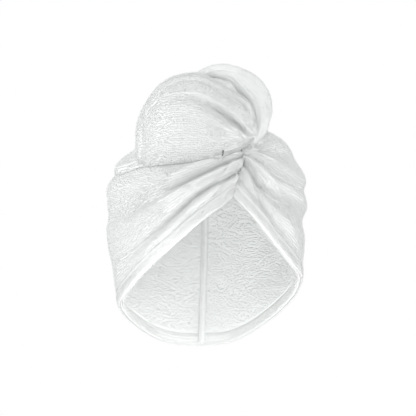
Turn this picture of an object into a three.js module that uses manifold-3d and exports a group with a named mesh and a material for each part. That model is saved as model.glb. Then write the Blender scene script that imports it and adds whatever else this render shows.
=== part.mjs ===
// A hair turban towel in the shape that it has when worn, in millimetres, +Z up and the face opening towards -Y.
// Two terry panels are sewn together down the back, drawn together in front at a gather point and twisted into a
// tail, which is piled on the crown, laid down the back and held there by an elastic loop on a button.
// The origin is the seat of the crown of the head, at the top of the hollow.
import * as THREE from 'three';
import { mergeVertices } from 'three/addons/utils/BufferGeometryUtils.js';
import Module from 'manifold-3d';

const wasm = await Module();
wasm.setup();

// Driving sizes of the hood
const HOOD_WIDTH = 204; // outside, over the ears
const HOOD_DEPTH = 232; // outside, brow to back
const CROWN_RISE = 75; // widest level to the outside of the crown
const NAPE_DROP = 241; // outside of the crown to the lowest point of the nape hem
const CLOTH = 3; // terry towelling, pile included
const CROWN_HOLE_RADIUS = 3; // where the two panels are gathered at the top, under the tail
const FOLD_RISE = 6.5; // height or depth of the strongest fold
const MEETING_REACH = 7; // half width of the crease where the panels meet in front
const SEAM_LEAN = -6; // sideways drift of the back seam from crown to nape
const CLEARANCE = 0.35; // between pieces that touch

// Driving sizes of the trim
const HEM_WIDTH = 12;
const HEM_THICKNESS = 5;
const SEAM_WIDTH = 8.5;
const SEAM_RISE = 4;
const TACK_LENGTH = 7;
const TACK_WIDTH = 1.1;
const TACK_RISE = 0.8;
const BUTTON_RADIUS = 10;
const BUTTON_THICKNESS = 3.5;
const SHANK_RADIUS = 2.6;
const SHANK_LENGTH = 4.2;
const LOOP_THICKNESS = 2.6;
const BUTTON_DROP = 200; // outside of the crown to the button
const LOOP_LENGTH = 34; // button to the loop's hidden ends in the tip of the tail

// Driving sizes of the tail
const BUN_WIDTH = 124; // front fold of the tail, left end to right end
const BUN_FOLD_RISE = 6.5;
const OVERLAP_ROLL = 3.5; // extra height of the rolled lower edge of the left overlap
const ARCH_RADIUS = 14;
const ROPE_RADIUS = 40;
const ROPE_TURNS = 1.6;

// Worked out from the driving sizes
const DEGREE = Math.PI / 180;
const CROWN_TOP = CLOTH;
const WIDEST_LEVEL = CROWN_TOP - CROWN_RISE;
const HALF_WIDTH = HOOD_WIDTH / 2;
const HALF_DEPTH = HOOD_DEPTH / 2;
const GIRTH_RADIUS = (HALF_WIDTH + HALF_DEPTH) / 2;
const LATITUDE_LENGTH = (Math.PI / 2) * Math.hypot(CROWN_RISE, GIRTH_RADIUS) / Math.SQRT2;

// Shape numbers of the hood's smooth dome
const FULLNESS_LEFT = 1.34; // superellipse power of the left shoulder
const FULLNESS_RIGHT = 2.15;
const TAPER_FROM = 0.46; // share of the nape drop at which the hood starts to close in
const TAPER_POWER = 1.6;
const TAPER_LEFT = 0.21;
const TAPER_RIGHT = 0.06;
const TAPER_BACK = 0.26;

// The gather point in front, where every fold meets
const GATHER = { bearing: 26.5, drop: 0.139 };
// The point of the face opening, under the gather point
const APEX = { bearing: 16.8, drop: 0.344 };

// The hem line: bearing from the front in degrees, positive to the right, and drop as a share of NAPE_DROP
const RIM_LEFT = [
  { bearing: -180, drop: 1.0 },
  { bearing: -158.6, drop: 0.993 },
  { bearing: -138.2, drop: 0.961 },
  { bearing: -118.5, drop: 0.904 },
  { bearing: -95, drop: 0.83 },
  { bearing: -76.8, drop: 0.793 },
  { bearing: -60.8, drop: 0.747 },
  { bearing: -42.2, drop: 0.67 },
  { bearing: -20.3, drop: 0.556 },
  { bearing: -3.2, drop: 0.452 },
  { bearing: APEX.bearing, drop: APEX.drop },
];
const RIM_RIGHT = [
  { bearing: APEX.bearing, drop: APEX.drop },
  { bearing: 23, drop: 0.389 },
  { bearing: 33.6, drop: 0.467 },
  { bearing: 45.9, drop: 0.552 },
  { bearing: 64.7, drop: 0.639 },
  { bearing: 80, drop: 0.685 },
  { bearing: 95, drop: 0.73 },
  { bearing: 112, drop: 0.808 },
  { bearing: 127.7, drop: 0.884 },
  { bearing: 143, drop: 0.949 },
  { bearing: 161.3, drop: 0.991 },
  { bearing: 180, drop: 1.0 },
];

// The lower edge of the overlap that sweeps from the left side up into the gather point
const OVERLAP_EDGE = [
  { bearing: -170, drop: 0.1 },
  { bearing: -150, drop: 0.17 },
  { bearing: -128, drop: 0.225 },
  { bearing: -100, drop: 0.25 },
  { bearing: -70, drop: 0.247 },
  { bearing: -53, drop: 0.226 },
  { bearing: -36, drop: 0.207 },
  { bearing: -18, drop: 0.197 },
  { bearing: 5, drop: 0.197 },
  { bearing: 15, drop: 0.172 },
  { bearing: GATHER.bearing, drop: GATHER.drop },
];

// The bar tack, on the front fold: across and up from the origin as shares of BUN_WIDTH
const TACK_AT = { across: 0.136, up: -0.272 };

// Bearings of the stations that the fold tables below give values for, on the right side. The first station is the
// line where the panels meet in front.
const STATIONS_RIGHT = [20, 35, 60, 98, 150];
const STATIONS_LEFT = [20, -15, -45, -98, -150];

// Lines of the right panel from crown to hem, which run from the gather point to the back. At each station, depth is
// the line's place as a share of the way from crown to hem, and rise is the height of the fold there as a share of
// FOLD_RISE, negative in a crease. Both panels have the same number of lines.
const LINES_RIGHT = [
  { name: 'crown', depth: [0.1, 0.08, 0.06, 0.05, 0.04], rise: [0, 0, 0, 0, 0] },
  { name: 'shoulder roll', depth: [0.3, 0.22, 0.2, 0.18, 0.16], rise: [0.2, 0.35, 0.3, 0.1, 0] },
  { name: 'upper crease', depth: [0.46, 0.35, 0.31, 0.29, 0.27], rise: [-0.5, -0.6, -0.4, -0.1, 0] },
  { name: 'upper ridge', depth: [0.51, 0.46, 0.43, 0.41, 0.37], rise: [0.5, 0.75, 0.6, 0.2, 0] },
  { name: 'upper valley', depth: [0.545, 0.53, 0.5, 0.48, 0.46], rise: [-0.2, -0.45, -0.35, 0, 0] },
  { name: 'middle ridge', depth: [0.575, 0.59, 0.555, 0.545, 0.54], rise: [0.3, 0.45, 0.4, 0.1, 0] },
  { name: 'lower ridge', depth: [0.61, 0.65, 0.61, 0.605, 0.61], rise: [0.4, 0.75, 0.7, 0.3, 0] },
  { name: 'deep valley', depth: [0.66, 0.73, 0.685, 0.68, 0.69], rise: [-0.5, -1, -0.75, -0.2, 0] },
  { name: 'cheek', depth: [0.78, 0.84, 0.83, 0.8, 0.8], rise: [0.1, 0.2, 0.25, 0.15, 0] },
  { name: 'crease over the hem', depth: [0.93, 0.95, 0.955, 0.93, 0.92], rise: [-0.4, -0.5, -0.3, 0, 0] },
];
const LINES_LEFT = [
  { name: 'crown', depth: [0.1, 0.08, 0.06, 0.05, 0.04], rise: [0, 0, 0, 0, 0] },
  { name: 'under the overlap', depth: [0.32, 0.27, 0.22, 0.18, 0.18], rise: [0, 0, 0, 0, 0] },
  { name: 'edge of the overlap', depth: [0.485, 0.4, 0.32, 0.29, 0.29], rise: [0, -0.1, -0.1, 0, 0] },
  { name: 'upper roll', depth: [0.53, 0.5, 0.45, 0.4, 0.39], rise: [0.5, 0.6, 0.4, 0.15, 0] },
  { name: 'main crease', depth: [0.575, 0.6, 0.61, 0.55, 0.54], rise: [-0.8, -1, -0.3, 0, 0] },
  { name: 'middle roll', depth: [0.62, 0.665, 0.685, 0.63, 0.62], rise: [0.5, 0.65, 0.45, 0.2, 0] },
  { name: 'middle face', depth: [0.665, 0.74, 0.765, 0.7, 0.7], rise: [0.4, 0.5, 0.4, 0.15, 0] },
  { name: 'foot of the middle face', depth: [0.71, 0.81, 0.84, 0.765, 0.765], rise: [0.1, 0.2, 0.15, 0.1, 0] },
  { name: 'lower crease', depth: [0.76, 0.87, 0.9, 0.82, 0.82], rise: [-0.6, -0.6, -0.25, 0, 0] },
  { name: 'roll over the hem', depth: [0.88, 0.945, 0.96, 0.92, 0.92], rise: [0.3, 0.35, 0.15, 0.1, 0] },
];

// Sections of the front fold of the tail, from its left end to its right end. across, top and bottom are shares of
// BUN_WIDTH, beside and above the origin. front and back are shares of HALF_DEPTH, ahead of the origin, so the fold
// stays on the brow. full is the power of the lower front quarter: 1 is an ellipse and less is squarer.
const BUN_SECTIONS = [
  { across: -0.585, top: -0.09, bottom: -0.25, front: 0.47, back: 0.385, full: 1 },
  { across: -0.57, top: 0.0, bottom: -0.36, front: 0.599, back: 0.257, full: 1 },
  { across: -0.53, top: 0.095, bottom: -0.42, front: 0.716, back: 0.171, full: 0.95 },
  { across: -0.48, top: 0.18, bottom: -0.45, front: 0.802, back: 0.107, full: 0.9 },
  { across: -0.4, top: 0.285, bottom: -0.45, front: 0.898, back: 0.043, full: 0.8 },
  { across: -0.3, top: 0.352, bottom: -0.44, front: 0.962, back: 0, full: 0.7 },
  { across: -0.19, top: 0.385, bottom: -0.43, front: 0.999, back: -0.021, full: 0.6 },
  { across: -0.06, top: 0.395, bottom: -0.415, front: 1.016, back: -0.021, full: 0.54 },
  { across: 0.08, top: 0.332, bottom: -0.395, front: 1.005, back: 0.021, full: 0.55 },
  { across: 0.2, top: 0.262, bottom: -0.345, front: 0.962, back: 0.107, full: 0.7 },
  { across: 0.3, top: 0.208, bottom: -0.26, front: 0.909, back: 0.235, full: 0.85 },
  { across: 0.37, top: 0.145, bottom: -0.2, front: 0.855, back: 0.385, full: 1 },
  { across: 0.41, top: 0.045, bottom: -0.17, front: 0.8, back: 0.534, full: 1 },
  { across: 0.425, top: -0.03, bottom: -0.145, front: 0.76, back: 0.609, full: 1 },
];

// Lines along the face of the front fold, from its top edge down to its foot. At each of the stations across, height
// is the line's place between the bottom, 0, and the top, 1, of the section there, and rise a share of BUN_FOLD_RISE.
const BUN_STATIONS = [-0.5, -0.2, 0.05, 0.2, 0.3, 0.37];
const BUN_LINES = [
  { name: 'rim', height: [0.97, 0.965, 0.955, 0.94, 0.93, 0.9], rise: [0, 0.2, 0.4, 0.5, 0.5, 0.3] },
  { name: 'hollow', height: [0.93, 0.9, 0.87, 0.84, 0.78, 0.68], rise: [0, -0.2, -0.5, -0.6, -0.5, -0.3] },
  { name: 'long ridge', height: [0.86, 0.82, 0.76, 0.72, 0.56, 0.3], rise: [0, 0.4, 1, 1, 0.9, 0.4] },
  { name: 'shade', height: [0.78, 0.73, 0.64, 0.57, 0.42, 0.17], rise: [0, -0.3, -0.7, -0.8, -0.6, -0.2] },
  { name: 'belly', height: [0.59, 0.55, 0.47, 0.41, 0.28, 0.11], rise: [0, 0, 0, 0, 0, 0] },
  { name: 'low belly', height: [0.38, 0.35, 0.3, 0.26, 0.18, 0.07], rise: [0, 0, 0, 0, 0, 0] },
  { name: 'foot', height: [0.18, 0.16, 0.14, 0.12, 0.08, 0.03], rise: [0, 0, 0, 0, 0, 0] },
];

// Side fold of the tail: it comes from behind the front fold, arches to the right and ends in the gather point.
// across and up are shares of BUN_WIDTH from the origin, ahead of HALF_DEPTH, and radius of ARCH_RADIUS.
const ARCH_PATH = [
  { across: -0.12, ahead: 0.214, up: 0.25, radius: 0.45 },
  { across: -0.06, ahead: 0.289, up: 0.345, radius: 0.48 },
  { across: 0.06, ahead: 0.385, up: 0.405, radius: 0.52 },
  { across: 0.22, ahead: 0.48, up: 0.39, radius: 0.68 },
  { across: 0.34, ahead: 0.543, up: 0.302, radius: 0.93 },
  { across: 0.427, ahead: 0.603, up: 0.194, radius: 0.98 },
  { across: 0.456, ahead: 0.647, up: 0.085, radius: 0.9 },
  { across: 0.458, ahead: 0.664, up: -0.008, radius: 0.7 },
  { across: 0.44, ahead: 0.672, up: -0.085, radius: 0.53 },
  { across: 0.403, ahead: 0.69, up: -0.149, radius: 0.44 },
  { across: 0.36, ahead: 0.724, up: -0.202, radius: 0.32 },
];

// Tail over the crown and down the back to the button. across and radius are shares of ROPE_RADIUS, back of
// HALF_DEPTH and up of BUTTON_DROP, all from the origin.
const ROPE_PATH = [
  { across: 0, back: -0.176, up: 0.036, radius: 0.9 },
  { across: 0.03, back: 0.124, up: 0.051, radius: 1.0 },
  { across: 0.06, back: 0.434, up: 0.03, radius: 1.0 },
  { across: 0.06, back: 0.724, up: -0.042, radius: 0.96 },
  { across: 0.03, back: 0.9, up: -0.132, radius: 0.9 },
  { across: 0, back: 1.024, up: -0.306, radius: 0.78 },
  { across: -0.03, back: 1.034, up: -0.498, radius: 0.64 },
  { across: -0.06, back: 0.998, up: -0.678, radius: 0.48 },
  { across: -0.09, back: 0.957, up: -0.84, radius: 0.3 },
];

// How finely each piece is divided
const FRONT_STEP = 6; // degrees between the columns of the hood where the folds are
const BACK_STEP = 12.5;
const FOLDED_TO = 94; // bearing, either side, at which the closely spaced columns end
const ROWS_PER_LINE = 2;
const ROUND_SIDES = 9;

const lerp = (a, b, t) => a + (b - a) * t;
const clamp01 = (t) => Math.min(1, Math.max(0, t));
const smooth = (t) => clamp01(t) ** 2 * (3 - 2 * clamp01(t));

// A smooth curve through a table: the value of `column` where the rows' `key` is x.
function read(rows, key, column, x) {
  const last = rows.length - 1;
  if (x <= rows[0][key]) return rows[0][column];
  if (x >= rows[last][key]) return rows[last][column];
  const i = rows.findIndex((row) => row[key] > x) - 1;
  const slope = (j) => {
    const a = rows[Math.max(0, j - 1)];
    const b = rows[Math.min(last, j + 1)];
    return (b[column] - a[column]) / (b[key] - a[key]);
  };
  const span = rows[i + 1][key] - rows[i][key];
  const t = (x - rows[i][key]) / span;
  return (
    rows[i][column] * (1 + 2 * t) * (1 - t) ** 2 +
    rows[i + 1][column] * (3 - 2 * t) * t ** 2 +
    slope(i) * span * t * (1 - t) ** 2 -
    slope(i + 1) * span * (1 - t) * t ** 2
  );
}

// The same, for a value at each of a list of stations.
function readList(places, values, x) {
  const rows = places.map((place, i) => ({ place: places[0] > places[1] ? -place : place, value: values[i] }));
  return read(rows, 'place', 'value', places[0] > places[1] ? -x : x);
}

const zAtDrop = (share) => CROWN_TOP - share * NAPE_DROP;

// The smooth dome. Latitude runs from 0 at the crown through 1 at the widest level and on down.
function dome(bearing, latitude) {
  const side = (Math.sin(bearing) + 1) / 2;
  const power = 2 / lerp(FULLNESS_LEFT, FULLNESS_RIGHT, side);
  const turn = (Math.min(latitude, 1) * Math.PI) / 2;
  const drop = Math.max(0, latitude - 1) * LATITUDE_LENGTH;
  const z = WIDEST_LEVEL + CROWN_RISE * Math.max(0, Math.cos(turn)) ** power - drop;
  const low = clamp01(((CROWN_TOP - z) / NAPE_DROP - TAPER_FROM) / (1 - TAPER_FROM));
  const closing = lerp(lerp(TAPER_LEFT, TAPER_RIGHT, side), TAPER_BACK, smooth(-Math.cos(bearing)));
  const taper = 1 - closing * low ** TAPER_POWER;
  const out = Math.sin(turn) ** power * taper;
  return new THREE.Vector3(HALF_WIDTH * out * Math.sin(bearing), -HALF_DEPTH * out * Math.cos(bearing), z);
}

// The latitude at which the dome stands at height z.
function latitudeAt(bearing, z) {
  if (z <= WIDEST_LEVEL) return 1 + (WIDEST_LEVEL - z) / LATITUDE_LENGTH;
  const side = (Math.sin(bearing) + 1) / 2;
  const power = lerp(FULLNESS_LEFT, FULLNESS_RIGHT, side) / 2;
  return (Math.acos(clamp01((z - WIDEST_LEVEL) / CROWN_RISE) ** power) * 2) / Math.PI;
}

function domeNormal(bearing, latitude) {
  const e = 0.01;
  const across = dome(bearing + e, latitude).sub(dome(bearing - e, latitude));
  const down = dome(bearing, latitude + e).sub(dome(bearing, Math.max(latitude - e, e / 2)));
  return down.cross(across).normalize();
}

// A point at a distance outside the unfolded hood.
function domePoint(bearing, latitude, lift) {
  return dome(bearing, latitude).addScaledVector(domeNormal(bearing, latitude), lift);
}

const RIGHT = { side: 1, rim: RIM_RIGHT, stations: STATIONS_RIGHT, lines: LINES_RIGHT };
const LEFT = { side: -1, rim: RIM_LEFT, stations: STATIONS_LEFT, lines: LINES_LEFT };

const rimZ = (half, bearing) => zAtDrop(read(half.rim, 'bearing', 'drop', bearing / DEGREE));

// Latitude of a line that runs `above` millimetres over the hem line, measured square to it on the cloth.
function latitudeOverRim(half, bearing, above) {
  const e = DEGREE;
  const slope = (rimZ(half, bearing + e) - rimZ(half, bearing - e)) / (2 * e * GIRTH_RADIUS);
  const steep = Math.hypot(1, slope);
  return latitudeAt(bearing, rimZ(half, bearing) + above * steep);
}

// Bearing of the line in front where the panels meet, from the crown through the gather point to the apex.
function frontMeeting(latitude) {
  const z = dome(GATHER.bearing * DEGREE, latitude).z;
  const low = smooth((zAtDrop(GATHER.drop) - z) / (NAPE_DROP * (APEX.drop - GATHER.drop)));
  return lerp(GATHER.bearing, APEX.bearing, low) * DEGREE;
}

// Bearing of the back seam, seen from the right side.
function backMeeting(latitude) {
  const point = dome(Math.PI, latitude);
  const lean = SEAM_LEAN * ((CROWN_TOP - point.z) / NAPE_DROP) ** 2;
  return Math.PI - lean / Math.max(Math.abs(point.y), SEAM_WIDTH);
}

// Shares of the way from the front meeting line to the back seam, closer together at the meeting crease and where the
// folds are. They come in the order of rising bearing.
function columnShares(half) {
  const start = APEX.bearing * half.side;
  const folded = Math.round((FOLDED_TO - start) / FRONT_STEP);
  const plain = Math.round((180 - FOLDED_TO) / BACK_STEP);
  const turn = (FOLDED_TO - start) / (180 - start);
  const step = turn / folded;
  const shares = [0, 0.25 * step, 0.55 * step];
  for (let i = 1; i < folded; i++) shares.push(turn * (i / folded));
  for (let i = 0; i <= plain; i++) shares.push(lerp(turn, 1, i / plain));
  return half.side > 0 ? shares : shares.reverse();
}

// Bearing of a column at a latitude. The end columns stand half a clearance off the line where the panels meet.
function columnBearing(half, share, latitude, clearance) {
  const radius = Math.max(CROWN_HOLE_RADIUS, Math.hypot(dome(0, latitude).y));
  const stand = clearance / 2 / radius;
  const front = frontMeeting(latitude);
  const back = half.side > 0 ? backMeeting(latitude) : backMeeting(latitude) - 2 * Math.PI;
  if (share === 0) return front + half.side * stand;
  if (share === 1) return back - half.side * stand;
  return lerp(front, back, share);
}

const CROWN_LATITUDE = ((2 / Math.PI) * CROWN_HOLE_RADIUS) / GIRTH_RADIUS;
const HEM_LINE = HEM_WIDTH + CLEARANCE; // lower edge of the panels, above the hem line

// Where a column crosses the fold lines: depth from crown to hem, 0 to 1, and the height of the fold.
function foldRows(half, nominal) {
  const at = (list) => readList(half.stations, list, nominal / DEGREE);
  const lines = half.lines.map((line) => ({ depth: at(line.depth), rise: at(line.rise) * FOLD_RISE }));
  const rows = [{ depth: 0, rise: 0 }, ...lines, { depth: 1, rise: 0 }].map((row, i) => ({ ...row, i }));
  const finer = [];
  for (let k = 0; k <= (rows.length - 1) * ROWS_PER_LINE; k++) {
    const i = k / ROWS_PER_LINE;
    finer.push({ depth: read(rows, 'i', 'depth', i), rise: read(rows, 'i', 'rise', i) });
  }
  return finer;
}

// A column of points down the hood at a distance outside its outer face.
function hoodColumn(half, share, lift, clearance) {
  const nominal = lerp(APEX.bearing, 180 * half.side, share) * DEGREE;
  const end = latitudeOverRim(half, nominal, HEM_LINE);
  return foldRows(half, nominal).map(({ depth, rise }) => {
    const z = lerp(CROWN_TOP, dome(nominal, end).z, depth);
    const latitude = Math.max(CROWN_LATITUDE, latitudeAt(nominal, z));
    const bearing = columnBearing(half, share, latitude, clearance);
    const away = Math.abs(bearing - frontMeeting(latitude)) * GIRTH_RADIUS;
    const low = smooth((zAtDrop(GATHER.drop * 0.75) - z) / (NAPE_DROP * 0.06));
    const meeting = -0.8 * FOLD_RISE * low * Math.exp(-((away / MEETING_REACH) ** 1.4));
    return domePoint(bearing, latitude, rise + meeting + lift);
  });
}

// A closed body from closed rings of points. Open runs of rings are closed by ladders of faces at both ends.
function loft(rings, closed = false) {
  const count = rings[0].length;
  const position = rings.flat().flatMap((p) => [p.x, p.y, p.z]);
  const faces = [];
  const quad = (a, b, c, d) => faces.push(a, b, c, a, c, d);
  const spans = closed ? rings.length : rings.length - 1;
  for (let i = 0; i < spans; i++) {
    const here = i * count;
    const next = ((i + 1) % rings.length) * count;
    for (let j = 0; j < count; j++) quad(here + j, next + j, next + ((j + 1) % count), here + ((j + 1) % count));
  }
  if (!closed) {
    const last = (rings.length - 1) * count;
    for (let j = 0; j < count / 2 - 1; j++) {
      const k = count - 1 - j;
      quad(j, j + 1, k - 1, k);
      quad(last + j, last + k, last + k - 1, last + j + 1);
    }
  }
  return facingOut(position, faces);
}

// A geometry with shared vertices, no collapsed faces and its faces turned outwards.
function facingOut(position, faces) {
  const rough = new THREE.BufferGeometry();
  rough.setAttribute('position', new THREE.Float32BufferAttribute(position, 3));
  rough.setIndex(faces);
  const merged = mergeVertices(rough, 1e-3);
  const index = [...merged.index.array];
  const kept = [];
  for (let i = 0; i < index.length; i += 3) {
    const [a, b, c] = index.slice(i, i + 3);
    if (a !== b && b !== c && a !== c) kept.push(a, b, c);
  }
  const at = (i) => new THREE.Vector3().fromBufferAttribute(merged.attributes.position, i);
  let volume = 0;
  for (let i = 0; i < kept.length; i += 3) volume += at(kept[i]).dot(at(kept[i + 1]).cross(at(kept[i + 2])));
  if (volume < 0) for (let i = 0; i < kept.length; i += 3) [kept[i + 1], kept[i + 2]] = [kept[i + 2], kept[i + 1]];
  merged.setIndex(kept);
  return merged;
}

function toSolid(geometry) {
  return new wasm.Manifold(new wasm.Mesh({
    numProp: 3,
    vertProperties: geometry.attributes.position.array,
    triVerts: new Uint32Array(geometry.index.array),
  }));
}

function toGeometry(solid) {
  const mesh = solid.getMesh();
  const geometry = new THREE.BufferGeometry();
  geometry.setAttribute('position', new THREE.Float32BufferAttribute(mesh.vertProperties, 3));
  geometry.setIndex([...mesh.triVerts]);
  return geometry;
}

// What is left of a piece when its neighbours are cut from it: the largest of the bodies that remain.
function trimmed(geometry, neighbours) {
  const left = neighbours.reduce((solid, other) => solid.subtract(toSolid(other)), toSolid(geometry));
  const bodies = left.decompose();
  return toGeometry(bodies.reduce((a, b) => (b.volume() > a.volume() ? b : a)).simplify(CLEARANCE / 3));
}

// One terry panel: the outer face goes down each column and the inner face comes back up.
function panel(half) {
  return loft(columnShares(half).map((share) => [
    ...hoodColumn(half, share, 0, CLEARANCE),
    ...hoodColumn(half, share, -CLOTH, CLEARANCE).reverse(),
  ]));
}

// The whole hood a clearance larger on both faces and closed at the crown, to cut its neighbours with.
function hoodEnvelope() {
  const ring = (half, share) => {
    const outer = hoodColumn(half, share, CLEARANCE, CLEARANCE / 4);
    const inner = hoodColumn(half, share, -CLOTH - CLEARANCE, CLEARANCE / 4).reverse();
    const top = new THREE.Vector3(0, 0, outer[0].z);
    const under = new THREE.Vector3(0, 0, inner[inner.length - 1].z);
    return [top, ...outer, ...inner, under];
  };
  const right = columnShares(RIGHT).map((share) => ring(RIGHT, share));
  const left = columnShares(LEFT).map((share) => ring(LEFT, share));
  const crown = right[0][0].z;
  const rings = [...right, ...left];
  const low = Math.min(...rings.map((r) => r[r.length - 1].z));
  rings.forEach((r) => {
    r[0].z = crown;
    r[r.length - 1].z = low;
  });
  return loft(rings, true);
}

// The folded hem along one panel: a flat oval that carries on from the panel's edge.
function hem(half, grown) {
  const SIDES = 4;
  const rings = columnShares(half).map((share) => {
    const nominal = lerp(APEX.bearing, 180 * half.side, share) * DEGREE;
    const top = latitudeOverRim(half, nominal, HEM_WIDTH + grown);
    const bottom = latitudeOverRim(half, nominal, -grown);
    const ring = [];
    for (const face of [1, -1]) {
      for (let i = 0; i < SIDES; i++) {
        const across = (i + 0.5) / SIDES;
        const down = face > 0 ? across : 1 - across;
        const latitude = lerp(top, bottom, (1 - Math.cos(down * Math.PI)) / 2);
        const thick = (HEM_THICKNESS / 2) * Math.sin(down * Math.PI) ** 0.6 + grown;
        const bearing = columnBearing(half, share, latitude, CLEARANCE - 2 * grown);
        const away = Math.abs(bearing - frontMeeting(latitude)) * GIRTH_RADIUS;
        const meeting = -0.8 * FOLD_RISE * Math.exp(-((away / MEETING_REACH) ** 1.4));
        ring.push(domePoint(bearing, latitude, meeting + face * thick - CLOTH / 2));
      }
    }
    return ring;
  });
  return loft(rings);
}

// The raised seam allowance down the inside of the back, from the crown over the hem.
function backSeam() {
  const STEPS = 14;
  const ACROSS = 3;
  const top = 0.5;
  const bottom = latitudeOverRim(RIGHT, Math.PI, 0.15 * HEM_WIDTH);
  const hemTop = latitudeOverRim(RIGHT, Math.PI, 1.5 * HEM_WIDTH);
  const hemFull = latitudeOverRim(RIGHT, Math.PI, 0.8 * HEM_WIDTH);
  const rings = [];
  for (let i = 0; i <= STEPS; i++) {
    const latitude = lerp(top, bottom, i / STEPS);
    const centre = backMeeting(latitude);
    const radius = Math.max(Math.abs(dome(Math.PI, latitude).y), SEAM_WIDTH);
    const overHem = ((HEM_THICKNESS - CLOTH) / 2) * smooth((latitude - hemTop) / (hemFull - hemTop));
    const under = -CLOTH - overHem;
    const ring = [];
    for (let j = 0; j <= ACROSS; j++) {
      const a = (j / ACROSS) * Math.PI;
      const bearing = centre + ((SEAM_WIDTH / 2) * Math.cos(a)) / radius;
      ring.push(domePoint(bearing, latitude, under - SEAM_RISE * Math.sin(a) - 0.25 * SEAM_RISE));
    }
    for (let j = ACROSS; j >= 0; j--) {
      const bearing = centre + ((SEAM_WIDTH / 2) * Math.cos((j / ACROSS) * Math.PI)) / radius;
      ring.push(domePoint(bearing, latitude, under));
    }
    rings.push(ring);
  }
  return loft(rings);
}

const OVERLAP_TOP = 0.3; // latitude of the overlap's upper edge, under the tail

// Latitude of the overlap's lower edge.
function overlapEnd(bearing) {
  const edge = zAtDrop(read(OVERLAP_EDGE, 'bearing', 'drop', bearing / DEGREE));
  return Math.max(latitudeAt(bearing, edge), OVERLAP_TOP + 0.05);
}

// How far the overlap's outer face stands off the hood: the cloth and the roll along its lower edge.
function overlapLift(bearing, latitude) {
  const width = overlapEnd(bearing) - OVERLAP_TOP;
  const down = (latitude - OVERLAP_TOP) / width;
  const roll = OVERLAP_ROLL * smooth(width / 0.4) * Math.exp(-(((down - 0.8) / 0.25) ** 2));
  return CLEARANCE + (CLOTH + roll) * lerp(1, 0.35, smooth((down - 0.85) / 0.15));
}

// The overlap: the left panel's top fold, which lies on the hood from the back left round to the gather point.
function leftOverlap(grown) {
  const ROWS = 7;
  const rings = [];
  const stops = columnShares(LEFT)
    .map((share) => lerp(APEX.bearing, -180, share))
    .filter((bearing) => bearing > OVERLAP_EDGE[0].bearing);
  const angles = [...stops, GATHER.bearing - 2].map((degrees) => degrees * DEGREE);
  angles.forEach((bearing, station) => {
    const end = station === 0 ? -1 : Number(station === angles.length - 1);
    const spread = (end * 3 * grown) / GIRTH_RADIUS;
    const bottom = overlapEnd(bearing);
    const column = (face) => {
      const points = [];
      for (let i = 0; i <= ROWS; i++) {
        const latitude = lerp(OVERLAP_TOP, bottom, 1 - (1 - i / ROWS) ** 1.4);
        const lift = face > 0 ? overlapLift(bearing, latitude) + grown : -CLOTH / 2;
        const extra = ((Number(i === ROWS) - Number(i === 0)) * 2 * grown) / LATITUDE_LENGTH;
        points.push(domePoint(bearing + spread, latitude + extra, lift));
      }
      return points;
    };
    rings.push([...column(1), ...column(-1).reverse()]);
  });
  return loft(rings);
}

const BUN_ROWS = BUN_SECTIONS.map((section, i) => ({ ...section, i }));

// A section of the front fold. i counts along the table and may fall between two rows.
function bunSection(i) {
  const at = (column) => read(BUN_ROWS, 'i', column, i);
  return {
    across: at('across'),
    middle: (at('top') + at('bottom')) / 2,
    high: (at('top') - at('bottom')) / 2,
    core: (at('front') + at('back')) / 2,
    deep: (at('front') - at('back')) / 2,
    full: at('full'),
  };
}

// The lines of the face at a section, as rows with their height and rise.
function bunLines(section) {
  const at = (list) => readList(BUN_STATIONS, list, section.across);
  const lines = BUN_LINES.map((line) => ({ height: at(line.height), rise: at(line.rise) }));
  return [{ height: 1, rise: 0 }, ...lines, { height: 0, rise: 0 }].map((row, i) => ({ ...row, i }));
}

// A point of the front fold's skin. Angle runs round the section from the front, upwards.
function bunPoint(section, angle, rise, grown) {
  const lowerFront = Math.cos(angle) > 0 && Math.sin(angle) < 0;
  const full = lowerFront ? section.full : 0.85;
  const ahead = section.core + section.deep * Math.sign(Math.cos(angle)) * Math.abs(Math.cos(angle)) ** full;
  return new THREE.Vector3(
    section.across * BUN_WIDTH,
    -ahead * HALF_DEPTH - rise * BUN_FOLD_RISE - grown * Math.cos(angle),
    (section.middle + section.high * Math.sin(angle)) * BUN_WIDTH + grown * Math.sin(angle),
  );
}

// The front fold of the tail: wound towelling, laid from the left over the brow and drawn in at the gather point.
function frontFold(grown) {
  const RINGS = 18;
  const FRONT = 16;
  const BACK = 8;
  const rings = [];
  for (let k = 0; k < RINGS; k++) {
    const section = bunSection((k / (RINGS - 1)) * (BUN_ROWS.length - 1));
    const lines = bunLines(section);
    const end = k === 0 ? -1 : Number(k === RINGS - 1);
    const ring = [];
    for (let j = 0; j <= FRONT; j++) {
      const i = (j / FRONT) * (lines.length - 1);
      const angle = Math.asin(2 * clamp01(read(lines, 'i', 'height', i)) - 1);
      ring.push(bunPoint(section, angle, read(lines, 'i', 'rise', i), grown));
    }
    for (let j = 1; j <= BACK; j++) ring.push(bunPoint(section, -Math.PI * (0.5 + j / (BACK + 1)), 0, grown));
    ring.forEach((point) => {
      point.x += 2 * end * grown;
    });
    rings.push(ring);
  }
  return loft(rings);
}

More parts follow.
